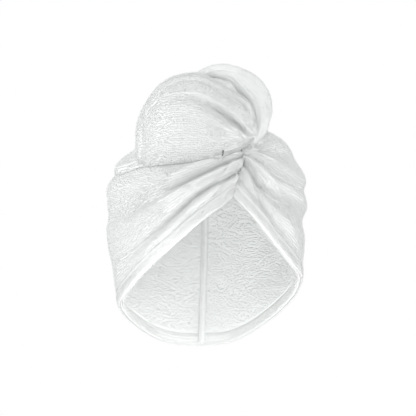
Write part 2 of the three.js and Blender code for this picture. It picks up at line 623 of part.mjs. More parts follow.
// A soft roll of cloth along a path, with lengthwise ridges that turn with it and rounded ends.
function softRoll(centres, radii, { sides, ridges, ridgeShare, turns, grown }) {
  const path = new THREE.CatmullRomCurve3(centres);
  const stations = Math.round(centres.length * 1.35);
  const frames = path.computeFrenetFrames(stations);
  const rings = [];
  for (let i = 0; i <= stations; i++) {
    const t = i / stations;
    const cap = Math.sin(Math.min(1, Math.min(t, 1 - t) * 14 + 0.12) * (Math.PI / 2));
    const end = i === 0 ? -1 : Number(i === stations);
    const at = path.getPoint(t).addScaledVector(frames.tangents[i], 2 * end * grown);
    const where = t * (radii.length - 1);
    const k = Math.min(radii.length - 2, Math.floor(where));
    const radius = lerp(radii[k], radii[k + 1], where - k) * cap + grown;
    const ring = [];
    for (let j = 0; j < sides; j++) {
      const a = (j / sides) * 2 * Math.PI;
      const r = radius * (1 + ridgeShare * Math.cos(ridges * (a + turns * 2 * Math.PI * t)));
      ring.push(at.clone()
        .addScaledVector(frames.normals[i], r * Math.cos(a))
        .addScaledVector(frames.binormals[i], r * Math.sin(a)));
    }
    rings.push(ring);
  }
  return loft(rings);
}

function sideFold(grown) {
  const centres = ARCH_PATH.map((p) =>
    new THREE.Vector3(p.across * BUN_WIDTH, -p.ahead * HALF_DEPTH, p.up * BUN_WIDTH));
  const radii = ARCH_PATH.map((p) => p.radius * ARCH_RADIUS);
  return softRoll(centres, radii, { sides: 12, ridges: 3, ridgeShare: 0.08, turns: 0.6, grown });
}

// One strand of the two that the tail is twisted from, over the crown and down the back.
function tailStrand(which, grown) {
  const STATIONS = 16;
  const spine = new THREE.CatmullRomCurve3(ROPE_PATH.map((p) =>
    new THREE.Vector3(p.across * ROPE_RADIUS, p.back * HALF_DEPTH, p.up * BUTTON_DROP)));
  const across = new THREE.Vector3(1, 0, 0);
  const centres = [];
  const radii = [];
  for (let i = 0; i <= STATIONS; i++) {
    const t = i / STATIONS;
    const where = t * (ROPE_PATH.length - 1);
    const k = Math.min(ROPE_PATH.length - 2, Math.floor(where));
    const radius = lerp(ROPE_PATH[k].radius, ROPE_PATH[k + 1].radius, where - k) * ROPE_RADIUS;
    const up = spine.getTangent(t).cross(across).normalize();
    const a = 2 * Math.PI * (ROPE_TURNS * t + which / 2);
    centres.push(spine.getPoint(t)
      .addScaledVector(across, 0.42 * radius * Math.cos(a))
      .addScaledVector(up, 0.42 * radius * Math.sin(a)));
    radii.push(0.6 * radius);
  }
  return softRoll(centres, radii, { sides: ROUND_SIDES, ridges: 1, ridgeShare: 0, turns: 0, grown });
}

// The frame of the button: where it is sewn on the back seam, with its axis square to the cloth.
function buttonFrame() {
  const latitude = latitudeAt(Math.PI, CROWN_TOP - BUTTON_DROP);
  const bearing = backMeeting(latitude);
  const axis = domeNormal(bearing, latitude);
  const foot = domePoint(bearing, latitude, CLEARANCE);
  return { foot, axis };
}

// The button with its shank, turned in one piece.
function button() {
  const { foot, axis } = buttonFrame();
  const outline = [
    [0, 0],
    [SHANK_RADIUS, 0],
    [SHANK_RADIUS, SHANK_LENGTH],
    [BUTTON_RADIUS * 0.92, SHANK_LENGTH],
    [BUTTON_RADIUS, SHANK_LENGTH + BUTTON_THICKNESS * 0.35],
    [BUTTON_RADIUS * 0.96, SHANK_LENGTH + BUTTON_THICKNESS * 0.85],
    [BUTTON_RADIUS * 0.82, SHANK_LENGTH + BUTTON_THICKNESS],
    [BUTTON_RADIUS * 0.7, SHANK_LENGTH + BUTTON_THICKNESS * 0.7],
    [0, SHANK_LENGTH + BUTTON_THICKNESS * 0.6],
  ].map(([x, y]) => new THREE.Vector2(x, y));
  const lathe = new THREE.LatheGeometry(outline, 16);
  lathe.applyQuaternion(new THREE.Quaternion().setFromUnitVectors(new THREE.Vector3(0, 1, 0), axis));
  lathe.translate(foot.x, foot.y, foot.z);
  return facingOut([...lathe.attributes.position.array], [...lathe.index.array]);
}

// The elastic loop: from inside the tip of the tail down over the cloth, round the button's shank and back up.
function elasticLoop() {
  const SIDES = 6;
  const around = SHANK_RADIUS + LOOP_THICKNESS / 2 + 3 * CLEARANCE;
  const onCloth = (across, up) => {
    const latitude = latitudeAt(Math.PI, CROWN_TOP - BUTTON_DROP + up);
    const bearing = backMeeting(latitude) - across / Math.abs(dome(Math.PI, latitude).y);
    return domePoint(bearing, latitude, CLEARANCE + SHANK_LENGTH / 2);
  };
  const leg = (side) => [
    onCloth(side * LOOP_THICKNESS * 0.7, LOOP_LENGTH),
    onCloth(side * around * 0.9, LOOP_LENGTH * 0.45),
    onCloth(side * around, 0),
    onCloth(side * around * 0.75, -around * 0.75),
  ];
  const route = new THREE.CatmullRomCurve3([...leg(-1), onCloth(0, -around * 1.05), ...leg(1).reverse()]);
  const section = new THREE.Shape();
  for (let i = 0; i < SIDES; i++) {
    const a = ((i + 0.5) / SIDES) * 2 * Math.PI;
    section[i ? 'lineTo' : 'moveTo']((LOOP_THICKNESS / 2) * Math.cos(a), (LOOP_THICKNESS / 2) * Math.sin(a));
  }
  section.closePath();
  const tube = new THREE.ExtrudeGeometry(section, { steps: 20, extrudePath: route, bevelEnabled: false });
  const position = [...tube.attributes.position.array];
  return facingOut(position, position.map((value, i) => i).slice(0, position.length / 3));
}

// The short dark bar tack low on the front fold, left of the gather point: a slab half sunk in before it is cut.
function barTack() {
  let i = 0;
  while (bunSection(i).across < TACK_AT.across) i += 0.02;
  const section = bunSection(i);
  const angle = Math.asin((TACK_AT.up - section.middle) / section.high);
  const centre = bunPoint(section, angle, 0, CLEARANCE);
  const over = bunPoint(section, angle + 0.05, 0, CLEARANCE);
  const beside = bunPoint(bunSection(i + 0.1), angle, 0, CLEARANCE);
  const normal = beside.sub(centre).cross(over.clone().sub(centre)).normalize();
  const slab = new THREE.BoxGeometry(TACK_WIDTH, 2 * TACK_RISE, TACK_LENGTH);
  slab.deleteAttribute('normal');
  slab.deleteAttribute('uv');
  const merged = mergeVertices(slab, 1e-3);
  merged.applyQuaternion(new THREE.Quaternion().setFromUnitVectors(new THREE.Vector3(0, -1, 0), normal));
  merged.translate(centre.x, centre.y, centre.z);
  return merged;
}

const terry = (color) => new THREE.MeshStandardMaterial({ color, roughness: 1, metalness: 0 });
const TERRY = terry(0xf2f4f3);
const HEM_TERRY = terry(0xf6f7f7);
const THREAD = terry(0x8c8f8f);
const ELASTIC = terry(0xededec);
const BUTTON_PLASTIC = new THREE.MeshStandardMaterial({ color: 0xf4f4f2, roughness: 0.35, metalness: 0 });

const turban = new THREE.Group();

function add(name, geometry, material) {
  const mesh = new THREE.Mesh(geometry, material);
  mesh.name = name;
  turban.add(mesh);
}

const envelope = hoodEnvelope();
const overlap = trimmed(leftOverlap(0), [envelope]);
const overlapGrown = leftOverlap(CLEARANCE);
const bun = trimmed(frontFold(0), [envelope, overlapGrown]);
const bunGrown = frontFold(CLEARANCE);
const arch = trimmed(sideFold(0), [envelope, overlapGrown, bunGrown]);
const archGrown = sideFold(CLEARANCE);
const strandOne = trimmed(tailStrand(0, 0), [envelope, overlapGrown, bunGrown, archGrown]);
const strandTwo = trimmed(tailStrand(1, 0), [envelope, overlapGrown, bunGrown, archGrown, tailStrand(0, CLEARANCE)]);

add('left_panel', panel(LEFT), TERRY);
add('right_panel', panel(RIGHT), TERRY);
add('left_hem', hem(LEFT, 0), HEM_TERRY);
add('right_hem', hem(RIGHT, 0), HEM_TERRY);
add('back_seam', trimmed(backSeam(), [envelope, hem(LEFT, CLEARANCE), hem(RIGHT, CLEARANCE)]), HEM_TERRY);
add('left_overlap', overlap, TERRY);
add('tail_front_fold', bun, TERRY);
add('tail_side_fold', arch, TERRY);
add('tail_strand_one', strandOne, TERRY);
add('tail_strand_two', strandTwo, TERRY);
add('elastic_loop', trimmed(elasticLoop(), [tailStrand(0, CLEARANCE), tailStrand(1, CLEARANCE)]), ELASTIC);
add('nape_button', button(), BUTTON_PLASTIC);
add('bar_tack', trimmed(barTack(), [bunGrown, overlapGrown]), THREAD);

export default turban;
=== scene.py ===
"""A hair turban towel in its worn shape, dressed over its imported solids.

The shapes are worked out in millimetres in the frame of the solids, +Z up and the face opening towards -Y,
and the meshes are made in metres. The cloth is white terry towelling: every face that shows carries rows of
loops, which follow the folds to the gather point in front.
"""
import logging
import math
from dataclasses import dataclass, field
from enum import Enum

import bpy
import numpy as np
from mathutils import Matrix, Vector
from mathutils.bvhtree import BVHTree


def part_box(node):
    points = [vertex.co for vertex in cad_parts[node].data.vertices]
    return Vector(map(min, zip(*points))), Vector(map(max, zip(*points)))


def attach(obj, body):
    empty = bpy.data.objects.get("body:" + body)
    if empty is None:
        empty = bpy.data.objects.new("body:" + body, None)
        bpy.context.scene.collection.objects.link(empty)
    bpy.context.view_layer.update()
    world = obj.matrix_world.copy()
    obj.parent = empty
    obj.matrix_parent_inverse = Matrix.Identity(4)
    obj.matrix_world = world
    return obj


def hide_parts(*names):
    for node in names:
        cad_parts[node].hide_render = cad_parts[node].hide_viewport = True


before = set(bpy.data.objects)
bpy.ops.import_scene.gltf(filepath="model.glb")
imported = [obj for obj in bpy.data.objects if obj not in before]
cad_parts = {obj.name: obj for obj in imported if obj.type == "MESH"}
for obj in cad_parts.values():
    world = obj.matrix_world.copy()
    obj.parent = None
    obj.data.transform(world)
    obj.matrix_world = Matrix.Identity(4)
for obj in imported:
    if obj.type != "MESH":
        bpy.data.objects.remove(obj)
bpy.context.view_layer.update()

log = logging.getLogger("turban")
MM = 0.001
BODY = "root"
Number = float | np.ndarray
Numbers = tuple[float, ...] | np.ndarray
Point = tuple[float, float, float]
Rows = tuple[tuple[float, ...], ...]
FoldLine = tuple[str, tuple[float, ...], tuple[float, ...]]


class Side(Enum):
    """Which half of the hood, seen from the front."""

    LEFT = -1
    RIGHT = 1


def lerp(a: Number, b: Number, t: Number) -> Number:
    """Goes from a to b as t goes from 0 to 1."""
    return a + (b - a) * t


def clamp01(t: Number) -> Number:
    """Keeps t between 0 and 1."""
    return np.clip(t, 0.0, 1.0)


def smooth(t: Number) -> Number:
    """Eases from 0 to 1."""
    t = clamp01(t)
    return t * t * (3 - 2 * t)


def unit(vectors: np.ndarray) -> np.ndarray:
    """Scales vectors to length 1."""
    return vectors / np.maximum(np.linalg.norm(vectors, axis=-1, keepdims=True), 1e-12)


def read(keys: Numbers, values: Numbers | Rows, x: Number) -> np.ndarray:
    """Reads a smooth curve through a short table.

    Args:
        keys: rising places of the table's rows.
        values: one value, or one array of values, for each row.
        x: places to read at.

    Returns:
        The values at x.
    """
    keys = np.asarray(keys, float)
    values = np.asarray(values, float)
    after = np.minimum(np.arange(len(keys)) + 1, len(keys) - 1)
    before = np.maximum(np.arange(len(keys)) - 1, 0)
    widths = (keys[after] - keys[before]).reshape((-1,) + (1,) * (values.ndim - 1))
    slopes = (values[after] - values[before]) / widths
    x = np.clip(np.asarray(x, float), keys[0], keys[-1])
    i = np.clip(np.searchsorted(keys, x, side="right") - 1, 0, len(keys) - 2)
    span = keys[i + 1] - keys[i]
    t = (x - keys[i]) / span
    if values.ndim > 1:
        t = t[..., None]
        span = span[..., None]
    start = values[i] * (1 + 2 * t) * (1 - t) ** 2 + slopes[i] * span * t * (1 - t) ** 2
    return start + values[i + 1] * (3 - 2 * t) * t**2 - slopes[i + 1] * span * (1 - t) * t**2


def column(rows: Rows, index: int) -> np.ndarray:
    """Takes one column of a table."""
    return np.array([row[index] for row in rows], float)


def waves(points: np.ndarray, length: float, seed: int) -> np.ndarray:
    """Gives soft lumps with no direction, between about -1 and 1.

    Args:
        points: places, in millimetres.
        length: usual distance between two lumps.
        seed: which pattern.

    Returns:
        One height for each place.
    """
    random = np.random.default_rng(seed)
    total = np.zeros(points.shape[:-1])
    count = 7
    for _ in range(count):
        direction = unit(random.normal(size=3)) * 2 * np.pi / (length * random.uniform(0.75, 1.5))
        total += np.sin(points @ direction + random.uniform(0, 2 * np.pi))
    return total / math.sqrt(count * 2)


def new_piece(name: str, points: np.ndarray, faces: np.ndarray) -> bpy.types.Object:
    """Makes an object from points in millimetres.

    Args:
        name: the piece's name.
        points: one row of three numbers for each point.
        faces: one row of three or four point numbers for each face.

    Returns:
        The object, in the scene, smooth and with its place in its mesh.
    """
    mesh = bpy.data.meshes.new(name)
    corners = faces.shape[1]
    mesh.vertices.add(len(points))
    mesh.vertices.foreach_set("co", (points * MM).astype(np.float32).ravel())
    mesh.loops.add(faces.size)
    mesh.loops.foreach_set("vertex_index", faces.astype(np.int32).ravel())
    mesh.polygons.add(len(faces))
    mesh.polygons.foreach_set("loop_start", np.arange(0, faces.size, corners, dtype=np.int32))
    mesh.update(calc_edges=True)
    mesh.validate()
    mesh.polygons.foreach_set("use_smooth", np.ones(len(mesh.polygons), bool))
    piece = bpy.data.objects.new(name, mesh)
    bpy.context.scene.collection.objects.link(piece)
    return piece


def only(piece: bpy.types.Object) -> None:
    """Selects one object and makes it active."""
    bpy.ops.object.select_all(action="DESELECT")
    piece.select_set(True)
    bpy.context.view_layer.objects.active = piece


def apply_modifier(piece: bpy.types.Object, kind: str, **settings: object) -> None:
    """Adds a modifier with these settings and applies it."""
    only(piece)
    modifier = piece.modifiers.new(kind.lower(), kind)
    for key, value in settings.items():
        setattr(modifier, key, value)
    bpy.ops.object.modifier_apply(modifier=modifier.name)


def mesh_points(piece: bpy.types.Object) -> np.ndarray:
    """Reads a piece's points, in millimetres."""
    points = np.empty(len(piece.data.vertices) * 3, np.float32)
    piece.data.vertices.foreach_get("co", points)
    return points.reshape(-1, 3).astype(float) / MM


def surface_of(pieces: list[bpy.types.Object]) -> BVHTree:
    """Makes one search tree, in millimetres, of several pieces."""
    points = []
    faces = []
    for piece in pieces:
        start = len(points)
        points += [tuple(v.co / MM) for v in piece.data.vertices]
        faces += [tuple(start + i for i in p.vertices) for p in piece.data.polygons]
    return BVHTree.FromPolygons(points, faces)


def facing_out(points: np.ndarray, faces: np.ndarray) -> np.ndarray:
    """Turns a closed body's faces outwards.

    Args:
        points: the body's points.
        faces: its faces, which all turn the same way.

    Returns:
        The faces, reversed if they pointed inwards.
    """
    a, b, c = (points[faces[:, i]] for i in range(3))
    volume = np.einsum("ij,ij->i", a, np.cross(b, c)).sum()
    if faces.shape[1] == 4:
        d = points[faces[:, 3]]
        volume += np.einsum("ij,ij->i", a, np.cross(c, d)).sum()
    return faces if volume > 0 else faces[:, ::-1]


def shell(outer: np.ndarray, inner: np.ndarray) -> tuple[np.ndarray, np.ndarray]:
    """Closes two grids of the same size into a wall.

    Args:
        outer: rows by columns by three.
        inner: the same.

    Returns:
        Points and faces.
    """
    rows, columns = outer.shape[:2]
    points = np.concatenate([outer.reshape(-1, 3), inner.reshape(-1, 3)])
    half = rows * columns
    number = np.arange(half).reshape(rows, columns)
    top = np.stack([number[:-1, :-1], number[1:, :-1], number[1:, 1:], number[:-1, 1:]], -1).reshape(-1, 4)
    rim = np.concatenate([number[0, :-1], number[:-1, -1], number[-1, :0:-1], number[:0:-1, 0]])
    after = np.roll(rim, -1)
    wall = np.stack([rim, after, after + half, rim + half], -1)
    faces = np.concatenate([top, top[:, ::-1] + half, wall])
    return points, facing_out(points, faces)


def tube(rings: np.ndarray) -> tuple[np.ndarray, np.ndarray]:
    """Closes a stack of rings into a body, each end drawn in to a point.

    Args:
        rings: rings by points round by three.

    Returns:
        Points and three-sided faces.
    """
    count, around = rings.shape[:2]
    ends = np.stack([rings[0].mean(0), rings[-1].mean(0)])
    points = np.concatenate([rings.reshape(-1, 3), ends])
    number = np.arange(count * around).reshape(count, around)
    ahead = np.roll(number, -1, axis=1)
    body = np.stack([number[:-1], number[1:], ahead[1:], ahead[:-1]], -1).reshape(-1, 4)
    quads = np.concatenate([body[:, [0, 1, 2]], body[:, [0, 2, 3]]])
    first = np.stack([np.full(around, count * around), number[0], ahead[0]], -1)
    last = np.stack([np.full(around, count * around + 1), ahead[-1], number[-1]], -1)
    faces = np.concatenate([quads, first, last])
    return points, facing_out(points, faces)


def normals_towards(grid: np.ndarray, way: np.ndarray) -> np.ndarray:
    """Gives the direction square to a surface at each point of its grid.

    Args:
        grid: rows by columns by three.
        way: a direction at each point, which says on the whole which side the normals are on.

    Returns:
        One unit vector for each point.
    """
    normals = unit(np.cross(np.gradient(grid, axis=0), np.gradient(grid, axis=1)))
    return normals if np.einsum("ijk,ijk->ij", normals, way).mean() >= 0 else -normals


def level_way(grid: np.ndarray) -> np.ndarray:
    """Level directions away from the upright axis through the crown, for normals_towards."""
    return grid * (1, 1, 0)


def shares_from_front(count: int) -> np.ndarray:
    """Shares from front to back, closer together near the front."""
    t = np.linspace(0, 1, count)
    return t * (0.62 + 0.38 * t)


def skin_round(normal: np.ndarray, beside: np.ndarray, radius: np.ndarray, angle: np.ndarray) -> np.ndarray:
    """Sets a ring of points round each point of a path.

    Args:
        normal: direction at angle 0, for each point of the path.
        beside: direction at a quarter turn.
        radius: path points by angles.
        angle: the same, or one row of angles for all.

    Returns:
        Offsets from the path, path points by angles by three.
    """
    ahead = normal[:, None] * (radius * np.cos(angle))[..., None]
    return ahead + beside[:, None] * (radius * np.sin(angle))[..., None]


@dataclass(frozen=True)
class Hood:
    """The smooth dome that both panels are laid on, in millimetres.

    A place on it is a bearing in radians, from the front and positive to the right, and a latitude, which
    runs from 0 at the crown through 1 at the widest level and on down. The rims give degrees and a share of
    the way from crown to nape.
    """

    width: float = 204.0
    depth: float = 232.0
    crown_rise: float = 75.0
    nape_drop: float = 241.0
    cloth: float = 3.0
    crown_hole: float = 3.0
    seam_lean: float = -6.0
    seam_width: float = 8.5
    hem_width: float = 12.0
    fullness: tuple[float, float] = (1.34, 2.15)
    taper_from: float = 0.46
    taper_power: float = 1.6
    taper: tuple[float, float, float] = (0.21, 0.06, 0.26)
    gather: tuple[float, float] = (26.5, 0.139)
    apex: tuple[float, float] = (16.8, 0.344)
    meeting_depth: float = 5.2
    meeting_reach: float = 7.0
    meeting_power: float = 1.4
    rim_left: Rows = (
        (-180, 1.0), (-158.6, 0.993), (-138.2, 0.961), (-118.5, 0.904), (-95, 0.83), (-76.8, 0.793),
        (-60.8, 0.747), (-42.2, 0.67), (-20.3, 0.556), (-3.2, 0.452), (16.8, 0.344),
    )
    rim_right: Rows = (
        (16.8, 0.344), (23, 0.389), (33.6, 0.467), (45.9, 0.552), (64.7, 0.639), (80, 0.685),
        (95, 0.73), (112, 0.808), (127.7, 0.884), (143, 0.949), (161.3, 0.991), (180, 1.0),
    )

    @property
    def top(self) -> float:
        """Height of the outside of the crown."""
        return self.cloth

    @property
    def widest(self) -> float:
        """Height of the widest level."""
        return self.top - self.crown_rise

    @property
    def girth_radius(self) -> float:
        """Mean radius at the widest level."""
        return (self.width + self.depth) / 4

    @property
    def latitude_length(self) -> float:
        """Cloth length of one latitude."""
        return (math.pi / 2) * math.hypot(self.crown_rise, self.girth_radius) / math.sqrt(2)

    def at_drop(self, share: Number) -> Number:
        """Height at a share of the way down from crown to nape."""
        return self.top - share * self.nape_drop

    def point(self, bearing: Number, latitude: Number) -> np.ndarray:
        """Finds points of the dome.

        Args:
            bearing: one or more bearings.
            latitude: one or more latitudes.

        Returns:
            x, y and z for each pair, on the last axis.
        """
        bearing, latitude = np.broadcast_arrays(bearing, latitude)
        side = (np.sin(bearing) + 1) / 2
        power = 2 / lerp(*self.fullness, side)
        turn = np.minimum(latitude, 1) * np.pi / 2
        drop = np.maximum(0, latitude - 1) * self.latitude_length
        z = self.widest + self.crown_rise * np.maximum(0, np.cos(turn)) ** power - drop
        low = clamp01(((self.top - z) / self.nape_drop - self.taper_from) / (1 - self.taper_from))
        closing = lerp(lerp(self.taper[0], self.taper[1], side), self.taper[2], smooth(-np.cos(bearing)))
        out = np.sin(turn) ** power * (1 - closing * low**self.taper_power)
        x = self.width / 2 * out * np.sin(bearing)
        y = -self.depth / 2 * out * np.cos(bearing)
        return np.stack([x, y, z], axis=-1)

    def latitude_at(self, bearing: Number, z: Number) -> np.ndarray:
        """Finds the latitude at which the dome stands at a height.

        Args:
            bearing: one or more bearings.
            z: one or more heights.

        Returns:
            The latitudes.
        """
        side = (np.sin(bearing) + 1) / 2
        power = lerp(*self.fullness, side) / 2
        above = np.arccos(clamp01((z - self.widest) / self.crown_rise) ** power) * 2 / np.pi
        return np.where(z <= self.widest, 1 + (self.widest - z) / self.latitude_length, above)

    def normal(self, bearing: Number, latitude: Number) -> np.ndarray:
        """Finds the direction out of the dome.

        Args:
            bearing: one or more bearings.
            latitude: one or more latitudes.

        Returns:
            A unit vector for each pair.
        """
        e = 0.01
        across = self.point(bearing + e, latitude) - self.point(bearing - e, latitude)
        down = self.point(bearing, latitude + e) - self.point(bearing, np.maximum(latitude - e, e / 2))
        return unit(np.cross(down, across))

    def lifted(self, bearing: Number, latitude: Number, lift: Number) -> np.ndarray:
        """A point at a distance outside the dome."""
        return self.point(bearing, latitude) + self.normal(bearing, latitude) * np.asarray(lift)[..., None]

    def rim(self, side: Side, bearing: Number) -> np.ndarray:
        """Height of the hem line."""
        rows = self.rim_left if side is Side.LEFT else self.rim_right
        return self.at_drop(read(column(rows, 0), column(rows, 1), np.degrees(bearing)))

    def over_rim(self, side: Side, bearing: Number, above: float) -> np.ndarray:
        """Finds the latitude of a line that runs above the hem line.

        Args:
            side: which half of the hood.
            bearing: one or more bearings.
            above: distance from the hem line, measured square to it on the cloth.

        Returns:
            The latitudes.
        """
        e = math.radians(1)
        rise = self.rim(side, bearing + e) - self.rim(side, bearing - e)
        steep = np.hypot(1, rise / (2 * e * self.girth_radius))
        return self.latitude_at(bearing, self.rim(side, bearing) + above * steep)

    def front_meeting(self, latitude: Number) -> np.ndarray:
        """Finds the line in front where the panels meet, from the crown to the point of the opening.

        Args:
            latitude: one or more latitudes.

        Returns:
            The line's bearings.
        """
        z = self.point(math.radians(self.gather[0]), latitude)[..., 2]
        low = smooth((self.at_drop(self.gather[1]) - z) / (self.nape_drop * (self.apex[1] - self.gather[1])))
        return np.radians(lerp(self.gather[0], self.apex[0], low))

    def near_meeting(self, bearing: np.ndarray, latitude: np.ndarray) -> np.ndarray:
        """How near a place is to the line where the panels meet: 1 on it, and less further from it."""
        away = np.abs(bearing - self.front_meeting(latitude)) * self.girth_radius
        return np.exp(-((away / self.meeting_reach) ** self.meeting_power))

    def back_meeting(self, latitude: Number) -> np.ndarray:
        """Finds the back seam.

        Args:
            latitude: one or more latitudes.

        Returns:
            Its bearings, counted round the right side.
        """
        point = self.point(math.pi, latitude)
        lean = self.seam_lean * ((self.top - point[..., 2]) / self.nape_drop) ** 2
        return math.pi - lean / np.maximum(np.abs(point[..., 1]), self.seam_width)

    def bearing_of(self, side: Side, share: Number, latitude: Number) -> np.ndarray:
        """Finds the bearing at a share of the way from the front meeting line to the back seam.

        Args:
            side: which half of the hood.
            share: 0 at the front and 1 at the back.
            latitude: one or more latitudes.

        Returns:
            The bearings.
        """
        back = self.back_meeting(latitude)
        if side is Side.LEFT:
            back = back - 2 * np.pi
        return lerp(self.front_meeting(latitude), back, share)

    def nominal(self, side: Side, share: Number) -> np.ndarray:
        """Bearing that a column has at the point of the opening's height."""
        return np.radians(lerp(self.apex[0], 180.0 * side.value, share))

    @property
    def gather_point(self) -> np.ndarray:
        """The point in front where every fold meets."""
        bearing = math.radians(self.gather[0])
        return self.point(bearing, self.latitude_at(bearing, self.at_drop(self.gather[1])))


@dataclass(frozen=True)
class FrontCrease:
    """A crease seen from the front, listed from left to right.

    Each row gives x and z in millimetres, how deep the crease is there, and how high the roll beside it is.
    Past its ends the crease fades within run_out. It is whole from front_reach ahead of the hood's middle.
    """

    rows: Rows
    width: float = 2.6
    roll_at: float = 7.0
    roll_width: float = 5.0
    run_out: float = 8.0
    front_reach: float = 30.0

    def height(self, points: np.ndarray) -> np.ndarray:
        """Works out the height that the crease adds.

        Args:
            points: places on the cloth.

        Returns:
            One height for each place.
        """
        x, y, z = points[..., 0], points[..., 1], points[..., 2]
        keys = column(self.rows, 0)
        path = read(keys, column(self.rows, 1), x)
        slope = (read(keys, column(self.rows, 1), x + 1) - read(keys, column(self.rows, 1), x - 1)) / 2
        off = (z - path) / np.hypot(1, slope)
        outside = np.maximum(keys[0] - x, x - keys[-1])
        there = (1 - smooth(outside / self.run_out)) * smooth(-y / self.front_reach)
        dip = np.interp(x, keys, column(self.rows, 2))
        roll = np.interp(x, keys, column(self.rows, 3))
        crease = -dip * np.exp(-((np.abs(off) / self.width) ** 1.2))
        return there * (crease + roll * np.exp(-(((off - self.roll_at) / self.roll_width) ** 2)))


@dataclass(frozen=True)
class Gathers:
    """Fine pleats that radiate from the gather point over the cloth near it."""

    centre: tuple[float, float]
    height: float = 0.9
    reach: float = 34.0
    start: float = 5.0
    front_reach: float = 30.0
    turns: tuple[int, ...] = (17, 29, 41)

    def at(self, points: np.ndarray) -> np.ndarray:
        """Works out the height of the pleats.

        Args:
            points: places on the cloth.

        Returns:
            One height for each place.
        """
        dx = points[..., 0] - self.centre[0]
        dz = points[..., 2] - self.centre[1]
        away = np.hypot(dx, dz)
        angle = np.arctan2(dz, dx)
        total = sum(np.sin(n * angle + 1.7 * i) / (1 + 0.5 * i) for i, n in enumerate(self.turns))
        near = np.exp(-away / self.reach) * (1 - np.exp(-away / self.start))
        return self.height * total * near * smooth(-points[..., 1] / self.front_reach)


@dataclass
class Loops:
    """Places and directions of many small loops of yarn, in millimetres."""

    at: np.ndarray
    up: np.ndarray
    along: np.ndarray

    def kept(self, mask: np.ndarray) -> "Loops":
        """The loops where the mask is true."""
        return Loops(self.at[mask], self.up[mask], self.along[mask])

    @staticmethod
    def joined(parts: list["Loops"]) -> "Loops":
        """All the loops of several sets."""
        return Loops(*(np.concatenate([getattr(p, key) for p in parts]) for key in ("at", "up", "along")))

    def uncovered(self, cover: BVHTree, reach: float) -> "Loops":
        """Picks the loops that nothing covers within a distance.

        Args:
            cover: the surfaces of the pieces that may lie over the cloth.
            reach: how far over the cloth to look.

        Returns:
            Those loops.
        """
        clearance = 0.2
        start = self.at + self.up * clearance
        hits = [cover.ray_cast(Vector(p), Vector(n), reach)[0] for p, n in zip(start, self.up)]
        return self.kept(np.array([hit is None for hit in hits], bool))

    def laid_on(self, surface: BVHTree, reach: float) -> "Loops":
        """Moves the loops on to a surface.

        Args:
            surface: the surface.
            reach: how far from it a loop may lie, or it is dropped.

        Returns:
            The loops on the surface.
        """
        found = [surface.find_nearest(Vector(p)) for p in self.at]
        at = np.array([f[0] for f in found])
        up = np.array([f[1] for f in found])
        near = np.array([f[3] for f in found]) < reach
        facing = np.einsum("ij,ij->i", up, self.up) > 0.3
        along = unit(self.along - up * np.einsum("ij,ij->i", up, self.along)[:, None])
        return Loops(at, up, along).kept(near & facing)


def along_line(place: np.ndarray, length: np.ndarray, line: np.ndarray) -> np.ndarray:
    """Reads a line of vectors at places along its length."""
    return np.stack([np.interp(place, length, line[:, k]) for k in range(3)], -1)


